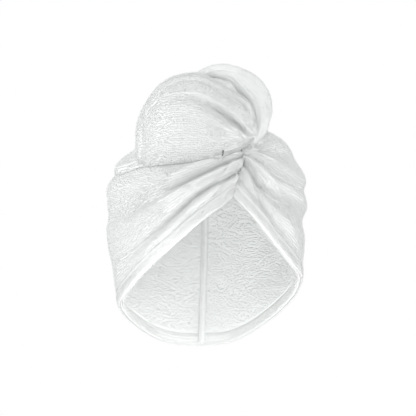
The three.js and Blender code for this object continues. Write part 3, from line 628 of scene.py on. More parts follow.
@dataclass(frozen=True)
class Pile:
    """Rows of terry loops, each a bent grain of yarn with both feet in the cloth.

    foot is how deep the feet are sunk. turn and lean say how unevenly the loops stand. Where lines come
    closer together than the share crowded of the pitch, some of them are left out.
    """

    pitch: float = 2.4
    step: float = 1.75
    span: float = 2.3
    height: float = 1.3
    yarn: float = 0.5
    wander: float = 0.3
    foot: float = 0.35
    turn: float = 0.35
    lean: float = 0.25
    crowded: float = 0.68
    seed: int = 5

    def rows(self, lines: np.ndarray, normals: np.ndarray) -> Loops:
        """Sets loops along the lines of a grid, fewer where lines run together and strewn where they part.

        Args:
            lines: lines by points by three.
            normals: the direction out of the cloth at each of those points.

        Returns:
            The loops.
        """
        random = np.random.default_rng(self.seed)
        gap = np.linalg.norm(np.diff(lines, axis=0), axis=-1)
        gap = np.concatenate([gap, gap[-1:]])
        parts = []
        for number, (line, normal, room) in enumerate(zip(lines, normals, gap)):
            length = np.concatenate([[0], np.cumsum(np.linalg.norm(np.diff(line, axis=0), axis=-1))])
            count = int(length[-1] / self.step)
            if count < 2:
                continue
            place = (np.arange(count) + 0.5 + random.uniform(-0.35, 0.35, count)) * self.step
            at = along_line(place, length, line)
            up = unit(along_line(place, length, normal))
            along = unit(along_line(place + 1, length, line) - along_line(place - 1, length, line))
            spacing = np.interp(place, length, room)
            loose = spacing * smooth((spacing / self.pitch - 0.8) / 0.6) * random.uniform(-0.5, 0.5, count)
            at = at + unit(np.cross(up, along)) * loose[:, None]
            crowding = self.crowded * self.pitch / np.maximum(spacing, 1e-3)
            every = 2 ** np.ceil(np.maximum(0, np.log2(crowding)))
            parts.append(Loops(at, up, along).kept(number % every == 0))
        return Loops.joined(parts)

    def piece(self, name: str, loops: Loops) -> bpy.types.Object:
        """Makes one piece of all the loops.

        Args:
            name: the piece's name.
            loops: where they stand.

        Returns:
            The piece, each loop a closed grain with two feet and four points round its back.
        """
        count = len(loops.at)
        random = np.random.default_rng(self.seed + count)
        beside = unit(np.cross(loops.up, loops.along))
        turn = random.normal(0, self.turn, (count, 1))
        along = loops.along * np.cos(turn) + beside * np.sin(turn)
        beside = np.cross(loops.up, along)
        at = loops.at + beside * random.normal(0, self.wander, (count, 1))
        span = self.span * random.uniform(0.8, 1.2, (count, 1))
        tall = self.height * random.uniform(0.7, 1.25, (count, 1))
        lean = random.normal(0, self.lean, (count, 1))
        yarn = self.yarn * random.uniform(0.85, 1.15, (count, 1))
        sunk = loops.up * self.foot
        points = [at - along * span * 0.5 - sunk, at + along * span * 0.5 - sunk]
        centre = at + along * span * 0.06 + loops.up * (tall - yarn * 0.6) + beside * lean * tall
        for corner in (0, 90, 180, 270):
            a = math.radians(corner)
            points.append(centre + beside * yarn * math.cos(a) + loops.up * yarn * math.sin(a))
        points = np.stack(points, axis=1)
        grain = [(0, 2 + i, 2 + (i + 1) % 4) for i in range(4)]
        grain += [(1, 2 + (i + 1) % 4, 2 + i) for i in range(4)]
        grain = facing_out(points[0], np.array(grain))
        faces = grain + (np.arange(count) * points.shape[1])[:, None, None]
        log.info("%s: %d loops", name, count)
        return new_piece(name, points.reshape(-1, 3), faces.reshape(-1, 3))


@dataclass(frozen=True)
class Towelling:
    """White terry towelling: soft, matt, a little sheen, with the fine fuzz of its yarn."""

    name: str = "towelling"
    colour: tuple[float, float, float] = (0.90, 0.912, 0.906)
    shade: tuple[float, float, float] = (0.865, 0.88, 0.875)
    fuzz: float = 0.4
    grain: float = 900.0

    def material(self) -> bpy.types.Material:
        """Builds the material.

        Returns:
            The material, whose colour and grain follow the object's own coordinates.
        """
        made = bpy.data.materials.new(self.name)
        made.use_nodes = True
        nodes = made.node_tree.nodes
        links = made.node_tree.links
        shader = nodes["Principled BSDF"]
        shader.inputs["Roughness"].default_value = 0.95
        shader.inputs["Specular IOR Level"].default_value = 0.15
        shader.inputs["Sheen Weight"].default_value = 0.25
        shader.inputs["Sheen Roughness"].default_value = 0.6
        shader.inputs["Subsurface Weight"].default_value = 0.0
        place = nodes.new("ShaderNodeTexCoord")
        patches = nodes.new("ShaderNodeTexNoise")
        patches.inputs["Scale"].default_value = 45.0
        patches.inputs["Detail"].default_value = 4.0
        tint = nodes.new("ShaderNodeMix")
        tint.data_type = "RGBA"
        tint.inputs["A"].default_value = (*self.shade, 1)
        tint.inputs["B"].default_value = (*self.colour, 1)
        yarn = nodes.new("ShaderNodeTexNoise")
        yarn.inputs["Scale"].default_value = self.grain
        yarn.inputs["Detail"].default_value = 3.0
        yarn.inputs["Roughness"].default_value = 0.7
        bump = nodes.new("ShaderNodeBump")
        bump.inputs["Strength"].default_value = self.fuzz
        bump.inputs["Distance"].default_value = 0.00015
        links.new(place.outputs["Object"], patches.inputs["Vector"])
        links.new(place.outputs["Object"], yarn.inputs["Vector"])
        links.new(patches.outputs["Fac"], tint.inputs["Factor"])
        links.new(tint.outputs["Result"], shader.inputs["Base Color"])
        links.new(yarn.outputs["Fac"], bump.inputs["Height"])
        links.new(bump.outputs["Normal"], shader.inputs["Normal"])
        return made


@dataclass(frozen=True)
class Plain:
    """A smooth or twisted finish of one colour with a fine grain."""

    name: str
    colour: tuple[float, float, float]
    roughness: float
    grain: float = 1500.0
    depth: float = 0.0002
    strength: float = 0.3

    def material(self) -> bpy.types.Material:
        """Builds the material.

        Returns:
            The material, whose colour and grain follow the object's own coordinates.
        """
        made = bpy.data.materials.new(self.name)
        made.use_nodes = True
        nodes = made.node_tree.nodes
        links = made.node_tree.links
        shader = nodes["Principled BSDF"]
        shader.inputs["Roughness"].default_value = self.roughness
        place = nodes.new("ShaderNodeTexCoord")
        noise = nodes.new("ShaderNodeTexNoise")
        noise.inputs["Scale"].default_value = self.grain
        tint = nodes.new("ShaderNodeMix")
        tint.data_type = "RGBA"
        tint.inputs["A"].default_value = (*(0.88 * c for c in self.colour), 1)
        tint.inputs["B"].default_value = (*self.colour, 1)
        bump = nodes.new("ShaderNodeBump")
        bump.inputs["Strength"].default_value = self.strength
        bump.inputs["Distance"].default_value = self.depth
        links.new(place.outputs["Object"], noise.inputs["Vector"])
        links.new(noise.outputs["Fac"], tint.inputs["Factor"])
        links.new(tint.outputs["Result"], shader.inputs["Base Color"])
        links.new(noise.outputs["Fac"], bump.inputs["Height"])
        links.new(bump.outputs["Normal"], shader.inputs["Normal"])
        return made


@dataclass
class Wardrobe:
    """The finishes of all the pieces."""

    terry: bpy.types.Material = field(init=False)
    hem: bpy.types.Material = field(init=False)
    elastic: bpy.types.Material = field(init=False)
    button: bpy.types.Material = field(init=False)
    thread: bpy.types.Material = field(init=False)
    tack: bpy.types.Material = field(init=False)

    def __post_init__(self) -> None:
        """Makes each material once."""
        self.terry = Towelling().material()
        # The hem's towelling is a darker copy of the towel's: painted shade that holds the hem, which catches
        # more light, down to the brightness of the cloth beside it.
        self.hem = Towelling("hem_towelling_painted_shade", (0.87, 0.88, 0.875), (0.84, 0.853, 0.848)).material()
        self.elastic = Plain("elastic", (0.82, 0.82, 0.8), 0.7).material()
        plastic = Plain("button_plastic", (0.85, 0.85, 0.83), 0.25, grain=60.0, depth=0.00005, strength=0.1)
        self.button = plastic.material()
        self.thread = Plain("thread", (0.9, 0.905, 0.9), 0.6).material()
        self.tack = Plain("tack_thread", (0.22, 0.225, 0.225), 0.6).material()

    @staticmethod
    def dress(piece: bpy.types.Object, material: bpy.types.Material, slot: str) -> None:
        """Gives a piece its finish and ties it to the body.

        Args:
            piece: the piece.
            material: its material.
            slot: the name of its material slot, not used.
        """
        piece.data.materials.clear()
        piece.data.materials.append(material)
        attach(piece, BODY)


PANEL_CREASES_LEFT = (
    FrontCrease(((-55, -87, 0.0, 0.5), (-43, -78, 1.2, 1.2), (-16, -61, 3.0, 1.6), (9.5, -47.5, 3.6, 1.0),
                 (28, -37, 3.0, 0.4), (38, -31, 1.5, 0.0)), width=3.2, roll_at=7.0, roll_width=5.0),
    FrontCrease(((-34, -109, 0.0, 0.0), (-12.6, -93, 1.2, 0.6), (3, -83, 2.2, 0.8), (20, -65, 2.6, 0.6),
                 (33, -48, 1.8, 0.0)), width=2.4, roll_at=6.0, roll_width=4.0),
)
KNOT_CREASES = (
    FrontCrease(((-14, 25, 0.2, 0.0), (1, 22, 1.3, 0.8), (18, 13.7, 1.5, 1.0), (30.5, 4.2, 1.5, 1.0),
                 (43, -8.4, 1.2, 0.8), (52.5, -21, 0.4, 0.0)), width=0.9, roll_at=0.0, roll_width=3.6),
    FrontCrease(((-4, 20.5, 0.0, 0.0), (15, 9.5, 1.0, 0.0), (28, 0.5, 1.2, 0.0), (42, -13, 0.8, 0.0)),
                width=2.0, roll_at=0.0, roll_width=3.6),
    FrontCrease(((-9, 47.5, 0.3, 0.0), (9.5, 40, 1.3, 0.8), (26, 30.5, 1.5, 1.0), (41, 20, 1.2, 0.8),
                 (49, 8, 0.4, 0.0)), width=0.9, roll_at=0.0, roll_width=3.2),
    FrontCrease(((-6, 42, 0.0, 0.0), (9.5, 35.5, 0.8, 0.0), (26, 25.5, 1.0, 0.0), (40, 14, 0.8, 0.0),
                 (48, 0, 0.2, 0.0)), width=0.9, roll_at=0.0, roll_width=3.2),
)
PANEL_CREASES_RIGHT = (
    FrontCrease(((41, -40, 1.5, 0.0), (52, -68, 3.5, -1.0), (62, -96.6, 3.0, -1.2), (72.5, -119.7, 1.8, -0.8),
                 (99.8, -157.5, 0.5, 0.0)), width=2.8, roll_at=6.0, roll_width=5.0),
    FrontCrease(((44, -50, 0.5, 0.0), (56, -66, 2.5, 0.5), (81, -77, 2.5, 0.8), (100, -98, 0.8, 0.0)),
                width=3.0, roll_at=5.0, roll_width=4.0),
)


@dataclass
class Panel:
    """One of the two terry panels, from crown to hem and from the front meeting line to the back seam.

    Each fold line has a name, its depth from crown to hem at each station, and the height of the fold there
    as a share of fold_rise. A station is a bearing in degrees, the first one near the line where the panels
    meet.
    """

    hood: Hood
    side: Side
    stations: tuple[float, ...]
    lines: tuple[FoldLine, ...]
    creases: tuple[FrontCrease, ...]
    fold_rise: float = 6.5
    gap: float = 0.12
    rows: int = 112
    columns: int = 150
    skin: float = 0.35
    even_at: float = 55.0
    pile_even_at: float = 98.0
    pile_columns: int = 260
    cloth_drop: float = 215.0
    cover_reach: float = 14.0

    @property
    def name(self) -> str:
        """The solid's name."""
        return f"{self.side.name.lower()}_panel"

    def folds(self, nominal: np.ndarray) -> tuple[np.ndarray, np.ndarray]:
        """Reads the depth and the height of every fold line.

        Args:
            nominal: bearings to read at.

        Returns:
            Depths and heights, lines first, with the crown before the lines and the hem after them.
        """
        places = np.array(self.stations) * self.side.value
        where = np.degrees(nominal) * self.side.value
        depth = [read(places, line[1], where) for line in self.lines]
        rise = [read(places, line[2], where) * self.fold_rise for line in self.lines]
        none = np.zeros_like(where)
        return np.array([none, *depth, none + 1]), np.array([none, *rise, none])

    def places(self, count: int, reference: float) -> np.ndarray:
        """Finds places between the fold lines that lie evenly at one bearing.

        Args:
            count: how many.
            reference: the bearing, in degrees.

        Returns:
            The places, counted in fold lines from the crown.
        """
        depth, _ = self.folds(np.radians(np.array([reference * self.side.value])))
        fine = np.linspace(0, len(self.lines) + 1, 1200)
        even = read(np.arange(len(self.lines) + 2), depth, fine)[:, 0]
        return np.interp(np.linspace(0, 1, count), even, fine)

    def grid(self, places: np.ndarray, shares: np.ndarray, lift: float) -> np.ndarray:
        """Points of a face of the panel.

        Args:
            places: where the rows run between the fold lines.
            shares: where the columns stand between front and back.
            lift: distance outside the nominal outer face.

        Returns:
            Rows by columns by three.
        """
        hood = self.hood
        nominal = hood.nominal(self.side, shares)
        depth, rise = self.folds(nominal)
        index = np.arange(len(self.lines) + 2)
        depth = read(index, depth, places)
        rise = read(index, rise, places)
        end = hood.over_rim(self.side, nominal, hood.hem_width + self.gap)
        foot = hood.point(nominal, end)[:, 2]
        z = lerp(hood.top, foot[None, :], depth)
        least = 2 / np.pi * hood.crown_hole / hood.girth_radius
        latitude = np.maximum(least, hood.latitude_at(nominal[None, :], z))
        bearing = hood.bearing_of(self.side, shares[None, :], latitude)
        stand = self.gap / 2 / np.maximum(hood.crown_hole, np.abs(hood.point(0.0, latitude)[..., 1]))
        front_side = np.where(shares < 0.5, 1, -1)[None, :] * self.side.value
        bearing = bearing + front_side * stand * (np.abs(shares - 0.5) > 0.49)[None, :]
        low = smooth((hood.at_drop(hood.gather[1] * 0.75) - z) / (hood.nape_drop * 0.06))
        meeting = -hood.meeting_depth * low * hood.near_meeting(bearing, latitude)
        flat = hood.point(bearing, latitude)
        extra = sum(crease.height(flat) for crease in self.creases)
        fade = smooth(latitude / 0.35) * smooth((1 - depth) / 0.05)
        gather = hood.gather_point
        extra = extra + Gathers((gather[0], gather[2])).at(flat)
        extra = extra + 0.9 * waves(flat, 55, 3) + 0.3 * waves(flat, 16, 8)
        return hood.lifted(bearing, latitude, rise + meeting + extra * fade + lift)

    def build(self, wardrobe: Wardrobe) -> bpy.types.Object:
        """Makes the panel's cloth, without its pile.

        Args:
            wardrobe: the finishes.

        Returns:
            The cloth, which replaces the panel's solid.
        """
        places = self.places(self.rows, self.even_at)
        shares = shares_from_front(self.columns)
        outer = self.grid(places, shares, -self.skin)
        inner = self.grid(places, shares, self.skin - self.hood.cloth)
        piece = new_piece(f"{self.name}_cloth", *shell(outer, inner))
        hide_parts(self.name)
        wardrobe.dress(piece, wardrobe.terry, "terry")
        return piece

    def pile(self, wardrobe: Wardrobe, cover: BVHTree, pile: Pile, inside: Pile) -> list[bpy.types.Object]:
        """Sets the loops on both faces of the panel.

        Args:
            wardrobe: the finishes.
            cover: what lies over the outer face.
            pile: the loops outside.
            inside: the loops inside.

        Returns:
            One piece for each face.
        """
        made = []
        shares = shares_from_front(self.pile_columns)
        under = self.skin - self.hood.cloth
        for face, kind, lift, out in (("outside", pile, -self.skin, 1), ("inside", inside, under, -1)):
            count = int(self.cloth_drop / kind.pitch)
            lines = self.grid(self.places(count, self.pile_even_at), shares, lift)[1:-1]
            loops = kind.rows(lines, normals_towards(lines, level_way(lines) * out))
            if out > 0:
                loops = loops.uncovered(cover, self.cover_reach)
            piece = kind.piece(f"{self.name}_pile_{face}", loops)
            wardrobe.dress(piece, wardrobe.terry, "terry")
            made.append(piece)
        return made


STATIONS_RIGHT = (20, 35, 60, 98, 150)
LINES_RIGHT = (
    ("crown", (0.1, 0.08, 0.06, 0.05, 0.04), (0, 0, 0, 0, 0)),
    ("shoulder roll", (0.3, 0.22, 0.2, 0.18, 0.16), (0.2, 0.35, 0.3, 0.1, 0)),
    ("upper crease", (0.46, 0.35, 0.31, 0.29, 0.27), (-0.5, -0.6, -0.4, -0.1, 0)),
    ("upper ridge", (0.51, 0.46, 0.43, 0.41, 0.37), (0.5, 0.75, 0.6, 0.2, 0)),
    ("upper valley", (0.545, 0.53, 0.5, 0.48, 0.46), (-0.2, -0.45, -0.35, 0, 0)),
    ("middle ridge", (0.575, 0.59, 0.555, 0.545, 0.54), (0.3, 0.45, 0.4, 0.1, 0)),
    ("lower ridge", (0.61, 0.65, 0.61, 0.605, 0.61), (0.4, 0.75, 0.7, 0.3, 0)),
    ("deep valley", (0.66, 0.73, 0.685, 0.68, 0.69), (-0.5, -1, -0.75, -0.2, 0)),
    ("cheek", (0.78, 0.84, 0.83, 0.8, 0.8), (0.1, 0.2, 0.25, 0.15, 0)),
    ("crease over the hem", (0.93, 0.95, 0.955, 0.93, 0.92), (-0.1, -0.2, -0.2, 0, 0)),
)
STATIONS_LEFT = (20, -15, -45, -98, -150)
LINES_LEFT = (
    ("crown", (0.1, 0.08, 0.06, 0.05, 0.04), (0, 0, 0, 0, 0)),
    ("under the overlap", (0.32, 0.27, 0.22, 0.18, 0.18), (0, 0, 0, 0, 0)),
    ("edge of the overlap", (0.485, 0.4, 0.32, 0.29, 0.29), (0, -0.1, -0.1, 0, 0)),
    ("upper roll", (0.53, 0.5, 0.45, 0.4, 0.39), (0.5, 0.6, 0.4, 0.15, 0)),
    ("main crease", (0.575, 0.6, 0.61, 0.55, 0.54), (-0.8, -1, -0.3, 0, 0)),
    ("middle roll", (0.62, 0.665, 0.685, 0.63, 0.62), (0.5, 0.65, 0.45, 0.2, 0)),
    ("middle face", (0.665, 0.74, 0.765, 0.7, 0.7), (0.4, 0.5, 0.4, 0.15, 0)),
    ("foot of the middle face", (0.71, 0.81, 0.84, 0.765, 0.765), (0.1, 0.2, 0.15, 0.1, 0)),
    ("lower crease", (0.76, 0.87, 0.9, 0.82, 0.82), (-0.6, -0.6, -0.25, 0, 0)),
    ("roll over the hem", (0.88, 0.945, 0.96, 0.92, 0.92), (0.3, 0.35, 0.15, 0.1, 0)),
)


@dataclass
class Hem:
    """The folded hem along one panel's edge, with its line of stitches."""

    hood: Hood
    side: Side
    thickness: float = 4.4
    columns: int = 230
    across: int = 14
    stitch_at: float = 1.6
    stitch: float = 2.6

    @property
    def name(self) -> str:
        """The solid's name."""
        return f"{self.side.name.lower()}_hem"

    def face(self, down: np.ndarray, shares: np.ndarray, out: float) -> np.ndarray:
        """Points of one face of the hem.

        Args:
            down: places from the upper edge, 0, to the lower edge, 1.
            shares: places from front to back.
            out: 1 for the outer face and -1 for the inner.

        Returns:
            Places down by places along by three.
        """
        hood = self.hood
        nominal = hood.nominal(self.side, shares)
        top = hood.over_rim(self.side, nominal, hood.hem_width)
        bottom = hood.over_rim(self.side, nominal, 0.0)
        latitude = lerp(top[None, :], bottom[None, :], down[:, None])
        bearing = hood.bearing_of(self.side, shares[None, :], latitude)
        start = hood.cloth / 2 - 0.35
        full = lerp(start, self.thickness / 2, smooth(down / 0.3))
        groove = 0.55 * np.exp(-(((down - self.stitch_at / hood.hem_width) / 0.05) ** 2))
        round_edge = np.sqrt(np.maximum(0, 1 - (np.maximum(0, down - 0.82) / 0.18) ** 2))
        thick = ((full - groove) * round_edge)[:, None]
        meeting = -hood.meeting_depth * hood.near_meeting(bearing, latitude)
        soft = 0.5 * waves(hood.point(bearing, latitude), 40, 12)
        return hood.lifted(bearing, latitude, meeting + out * thick - hood.cloth / 2 + soft)

    def build(self, wardrobe: Wardrobe, pile: Pile) -> list[bpy.types.Object]:
        """Makes the hem.

        Args:
            wardrobe: the finishes.
            pile: the loops on it.

        Returns:
            The band, its pile and its stitches.
        """
        shares = shares_from_front(self.columns)
        down = np.linspace(0, 1, self.across) ** 0.8
        outer, inner = (self.face(down, shares, out) for out in (1, -1))
        piece = new_piece(f"{self.name}_band", *shell(outer, inner))
        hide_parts(self.name)
        wardrobe.dress(piece, wardrobe.hem, "hem")
        fine = np.linspace(0, 1, 400)
        rows = int(self.hood.hem_width / pile.pitch) + 1
        seam = np.array([self.stitch_at, self.stitch_at + 0.3]) / self.hood.hem_width
        thread = Pile(pitch=0.4, step=self.stitch, span=self.stitch * 0.9, height=0.5, yarn=0.3, wander=0.03)
        parts = []
        stitches = []
        for out in (1, -1):
            lines = self.face(np.linspace(0.3, 0.93, rows), fine, out)
            parts.append(pile.rows(lines, normals_towards(lines, level_way(lines) * out)))
            lines = self.face(seam, fine, out)
            normals = normals_towards(lines, level_way(lines) * out)
            # rows() needs the room between two lines, so the line is given twice. It keeps the first alone.
            stitches.append(thread.rows(lines[:1].repeat(2, 0), normals[:1].repeat(2, 0)))
        loops = pile.piece(f"{self.name}_pile", Loops.joined(parts))
        wardrobe.dress(loops, wardrobe.hem, "hem")
        sewn = thread.piece(f"{self.name}_stitches", Loops.joined(stitches))
        wardrobe.dress(sewn, wardrobe.thread, "thread")
        return [piece, loops, sewn]


@dataclass
class BackSeam:
    """The raised seam allowance down the inside of the back, overlocked along both edges."""

    hood: Hood
    rise: float = 4.0
    top: float = 0.5
    steps: int = 130
    across: int = 14

    def course(self, steps: int) -> tuple[np.ndarray, np.ndarray]:
        """Finds the way down the seam.

        Args:
            steps: how many places.

        Returns:
            Their latitudes, and the hood's radius at each.
        """
        hood = self.hood
        end = hood.over_rim(Side.RIGHT, math.pi, 0.15 * hood.hem_width)
        latitude = np.linspace(self.top, float(end), steps)[None, :]
        return latitude, np.maximum(np.abs(hood.point(math.pi, latitude)[..., 1]), hood.seam_width)

    def lines(self, angles: np.ndarray, steps: int) -> np.ndarray:
        """Lines down the seam.

        Args:
            angles: place round the section, from 0 at one edge to pi at the other.
            steps: points in a line.

        Returns:
            Lines by points by three.
        """
        hood = self.hood
        latitude, radius = self.course(steps)
        hem_top = hood.over_rim(Side.RIGHT, math.pi, 1.5 * hood.hem_width)
        hem_full = hood.over_rim(Side.RIGHT, math.pi, 0.8 * hood.hem_width)
        over_hem = 0.9 * smooth((latitude - hem_top) / (hem_full - hem_top))
        a = angles[:, None]
        bearing = hood.back_meeting(latitude) + (hood.seam_width / 2) * np.cos(a) / radius
        pull = 0.25 * np.sin(latitude * 90) * np.sin(a)
        high = self.rise * np.sin(a) ** 0.8 * (0.92 + 0.08 * np.cos(4 * a)) + pull
        return hood.lifted(bearing, latitude, -hood.cloth - over_hem - high)

    def build(self, wardrobe: Wardrobe, pile: Pile) -> None:
        """Makes the seam's body and the thread that binds its edges.

        Args:
            wardrobe: the finishes.
            pile: the loops whose rows the thread follows.
        """
        face = self.lines(np.linspace(0, math.pi, self.across), self.steps)
        hood = self.hood
        latitude, radius = self.course(self.steps)
        spread = np.linspace(1, -1, self.across)[:, None] * hood.seam_width / 2
        bearing = hood.back_meeting(latitude) + spread / radius
        under = hood.lifted(bearing, latitude, np.full(bearing.shape, -hood.cloth + 0.2))
        piece = new_piece("back_seam_allowance", *shell(face, under))
        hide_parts("back_seam")
        wardrobe.dress(piece, wardrobe.terry, "hem")
        lines = self.lines(np.radians((35, 62, 90, 118, 145)), 260)
        loops = pile.rows(lines, normals_towards(lines, lines * (0, -1, 0)))
        slant = unit(np.cross(loops.up, loops.along)) * 0.8 + loops.along * 0.6
        loops = Loops(loops.at, loops.up, unit(slant))
        binding = Pile(span=2.6, height=0.7, yarn=0.32, wander=0.05, seed=9)
        sewn = binding.piece("back_seam_overlock", loops)
        wardrobe.dress(sewn, wardrobe.thread, "thread")


@dataclass
class Knot:
    """The overlap that sweeps over the brow and the front fold of the tail, which run into each other.

    sections and lines say the form of the front fold. In a section, across, top and bottom are shares of
    its width, and ahead and behind of half the hood's depth. full is the power of its lower front quarter.
    A line's heights and rises are given at each of the stations across.
    """

    hood: Hood
    width: float = 124.0
    fold_rise: float = 6.5
    roll: float = 3.5
    overlap_top: float = 0.3
    voxel: float = 1.1
    blend_reach: float = 20.0
    blend_steps: int = 400
    sections: Rows = (
        (-0.585, -0.09, -0.25, 0.47, 0.385, 1.0),
        (-0.57, 0.0, -0.36, 0.599, 0.257, 1.0),
        (-0.53, 0.095, -0.42, 0.716, 0.171, 0.95),
        (-0.48, 0.18, -0.45, 0.802, 0.107, 0.9),
        (-0.4, 0.285, -0.45, 0.898, 0.043, 0.8),
        (-0.3, 0.352, -0.44, 0.962, 0.0, 0.7),
        (-0.19, 0.385, -0.43, 0.999, -0.021, 0.6),
        (-0.06, 0.395, -0.415, 1.016, -0.021, 0.54),
        (0.08, 0.332, -0.395, 1.005, 0.021, 0.55),
        (0.2, 0.262, -0.345, 0.962, 0.107, 0.7),
        (0.3, 0.208, -0.26, 0.909, 0.235, 0.85),
        (0.37, 0.145, -0.2, 0.855, 0.385, 1.0),
        (0.41, 0.045, -0.17, 0.8, 0.534, 1.0),
        (0.425, -0.03, -0.145, 0.76, 0.609, 1.0),
    )
    stations: tuple[float, ...] = (-0.5, -0.2, 0.05, 0.2, 0.3, 0.37)
    lines: tuple[FoldLine, ...] = (
        ("rim", (0.97, 0.965, 0.955, 0.94, 0.93, 0.9), (0, 0.2, 0.4, 0.5, 0.5, 0.3)),
        ("hollow", (0.93, 0.9, 0.87, 0.84, 0.78, 0.68), (0, -0.2, -0.5, -0.6, -0.5, -0.3)),
        ("long ridge", (0.86, 0.8, 0.755, 0.69, 0.53, 0.3), (0, 0.4, 1, 1, 0.9, 0.4)),
        ("shade", (0.78, 0.72, 0.66, 0.58, 0.42, 0.17), (0, -0.2, -0.7, -0.9, -0.7, -0.3)),
        ("belly", (0.59, 0.55, 0.47, 0.41, 0.28, 0.11), (0, 0, 0, 0, 0, 0)),
        ("low belly", (0.38, 0.35, 0.3, 0.26, 0.18, 0.07), (0, 0, 0, 0, 0, 0)),
        ("foot", (0.18, 0.16, 0.14, 0.12, 0.08, 0.03), (0, 0, 0, 0, 0, 0)),
    )
    edge: Rows = (
        (-170, 0.1), (-150, 0.17), (-128, 0.225), (-100, 0.25), (-70, 0.247), (-53, 0.226), (-36, 0.207),
        (-18, 0.197), (5, 0.197), (15, 0.172), (26.5, 0.139),
    )

    def front_fold(self, rings: int, front: int, back: int) -> np.ndarray:
        """Points of the front fold.

        Args:
            rings: sections from end to end.
            front: steps down the face.
            back: steps round behind.

        Returns:
            Rings by points round by three.
        """
        rows = np.linspace(0, len(self.sections) - 1, rings)
        table = read(np.arange(len(self.sections)), np.array(self.sections), rows)
        across, top, bottom, ahead, behind, full = table.T
        heights = np.array([read(self.stations, line[1], across) for line in self.lines])
        rises = np.array([read(self.stations, line[2], across) for line in self.lines])
        ends = np.ones((1, rings))
        heights = np.concatenate([ends, heights, 0 * ends])
        rises = np.concatenate([0 * ends, rises, 0 * ends])
        index = np.linspace(0, len(self.lines) + 1, front + 1)
        height = clamp01(read(np.arange(len(heights)), heights, index)).T
        rise = read(np.arange(len(rises)), rises, index).T
        angle = np.arcsin(2 * height - 1)
        face = self.skin(table, angle, rise)
        round_back = -np.pi * (0.5 + np.arange(1, back + 1) / (back + 1))
        rest = self.skin(table, np.broadcast_to(round_back, (rings, back)), np.zeros((rings, back)))
        return np.concatenate([face, rest], axis=1)

    def skin(self, table: np.ndarray, angle: np.ndarray, rise: np.ndarray) -> np.ndarray:
        """Points of the front fold's skin.

        Args:
            table: one section for each ring.
            angle: angles round each section, from the front upwards.
            rise: height of the folds there, as a share of fold_rise.

        Returns:
            Rings by angles by three.
        """
        across, top, bottom, ahead, behind, full = (table[:, i : i + 1] for i in range(6))
        lower_front = (np.cos(angle) > 0) & (np.sin(angle) < 0)
        power = np.where(lower_front, full, 0.85)
        cosine = np.sign(np.cos(angle)) * np.abs(np.cos(angle)) ** power
        forward = (ahead + behind) / 2 + (ahead - behind) / 2 * cosine
        y = -forward * self.hood.depth / 2 - rise * self.fold_rise
        z = ((top + bottom) / 2 + (top - bottom) / 2 * np.sin(angle)) * self.width
        points = np.stack([np.broadcast_to(across * self.width, y.shape), y, z], -1)
        gather = self.hood.gather_point
        relief = Gathers((gather[0] + 8, gather[2] + 6), height=1.1, reach=26).at(points)
        relief += sum(crease.height(points) for crease in KNOT_CREASES)
        relief += 0.8 * waves(points, 45, 21) + 0.25 * waves(points, 14, 22)
        facing = smooth(np.cos(angle) * 3) * smooth((self.width * 0.44 - across * self.width) / 6)
        points[..., 1] -= relief * facing
        return points

    def overlap_end(self, bearing: np.ndarray) -> np.ndarray:
        """Latitude of the overlap's lower edge."""
        z = self.hood.at_drop(read(column(self.edge, 0), column(self.edge, 1), np.degrees(bearing)))
        return np.maximum(self.hood.latitude_at(bearing, z), self.overlap_top + 0.05)

    def overlap(self, columns: int, rows: int) -> tuple[np.ndarray, np.ndarray]:
        """Lays out the overlap.

        Args:
            columns: points along it.
            rows: points down it.

        Returns:
            Its outer face, and its underside, which is sunk into the hood and cut off afterwards.
        """
        hood = self.hood
        bearing = np.radians(np.linspace(-169, 24.5, columns))[None, :]
        bottom = self.overlap_end(bearing)
        down = (1 - (1 - np.linspace(0, 1, rows)) ** 1.4)[:, None]
        latitude = lerp(self.overlap_top, bottom, down)
        wide = smooth((bottom - self.overlap_top) / 0.4)
        roll = self.roll * wide * np.exp(-(((down - 0.8) / 0.25) ** 2))
        thick = lerp(1, 0.3, smooth((down - 0.88) / 0.12) ** 2)
        flat = hood.point(bearing, latitude)
        gather = hood.gather_point
        extra = Gathers((gather[0], gather[2])).at(flat) + 0.5 * waves(flat, 50, 3)
        outer = hood.lifted(bearing, latitude, 0.4 + (hood.cloth + roll) * thick + extra * thick)
        under = hood.lifted(bearing, latitude, np.full(latitude.shape, -4.0))
        return outer, under

    def build(self, wardrobe: Wardrobe, envelope: bpy.types.Object) -> bpy.types.Object:
        """Joins the overlap and the front fold into one soft body and cuts it to the hood.

        Args:
            wardrobe: the finishes.
            envelope: the filled hood.

        Returns:
            The body, which replaces both solids.
        """
        fold = new_piece("knot_soft", *tube(self.front_fold(190, 170, 40)))
        flap = new_piece("knot_flap", *shell(*self.overlap(240, 60)))
        skins = (surface_of([fold]), surface_of([flap]))
        apply_modifier(fold, "BOOLEAN", operation="UNION", solver="MANIFOLD", object=flap)
        bpy.data.objects.remove(flap)
        apply_modifier(fold, "REMESH", mode="VOXEL", voxel_size=self.voxel * MM, adaptivity=0.0)
        self.blend(fold, skins)
        apply_modifier(fold, "SMOOTH", factor=0.5, iterations=2)
        apply_modifier(fold, "BOOLEAN", operation="DIFFERENCE", solver="MANIFOLD", object=envelope)
        keep_largest(fold)
        shade_smooth(fold)
        fold.name = "knot_front_fold"
        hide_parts("left_overlap", "tail_front_fold")
        wardrobe.dress(fold, wardrobe.terry, "terry")
        return fold

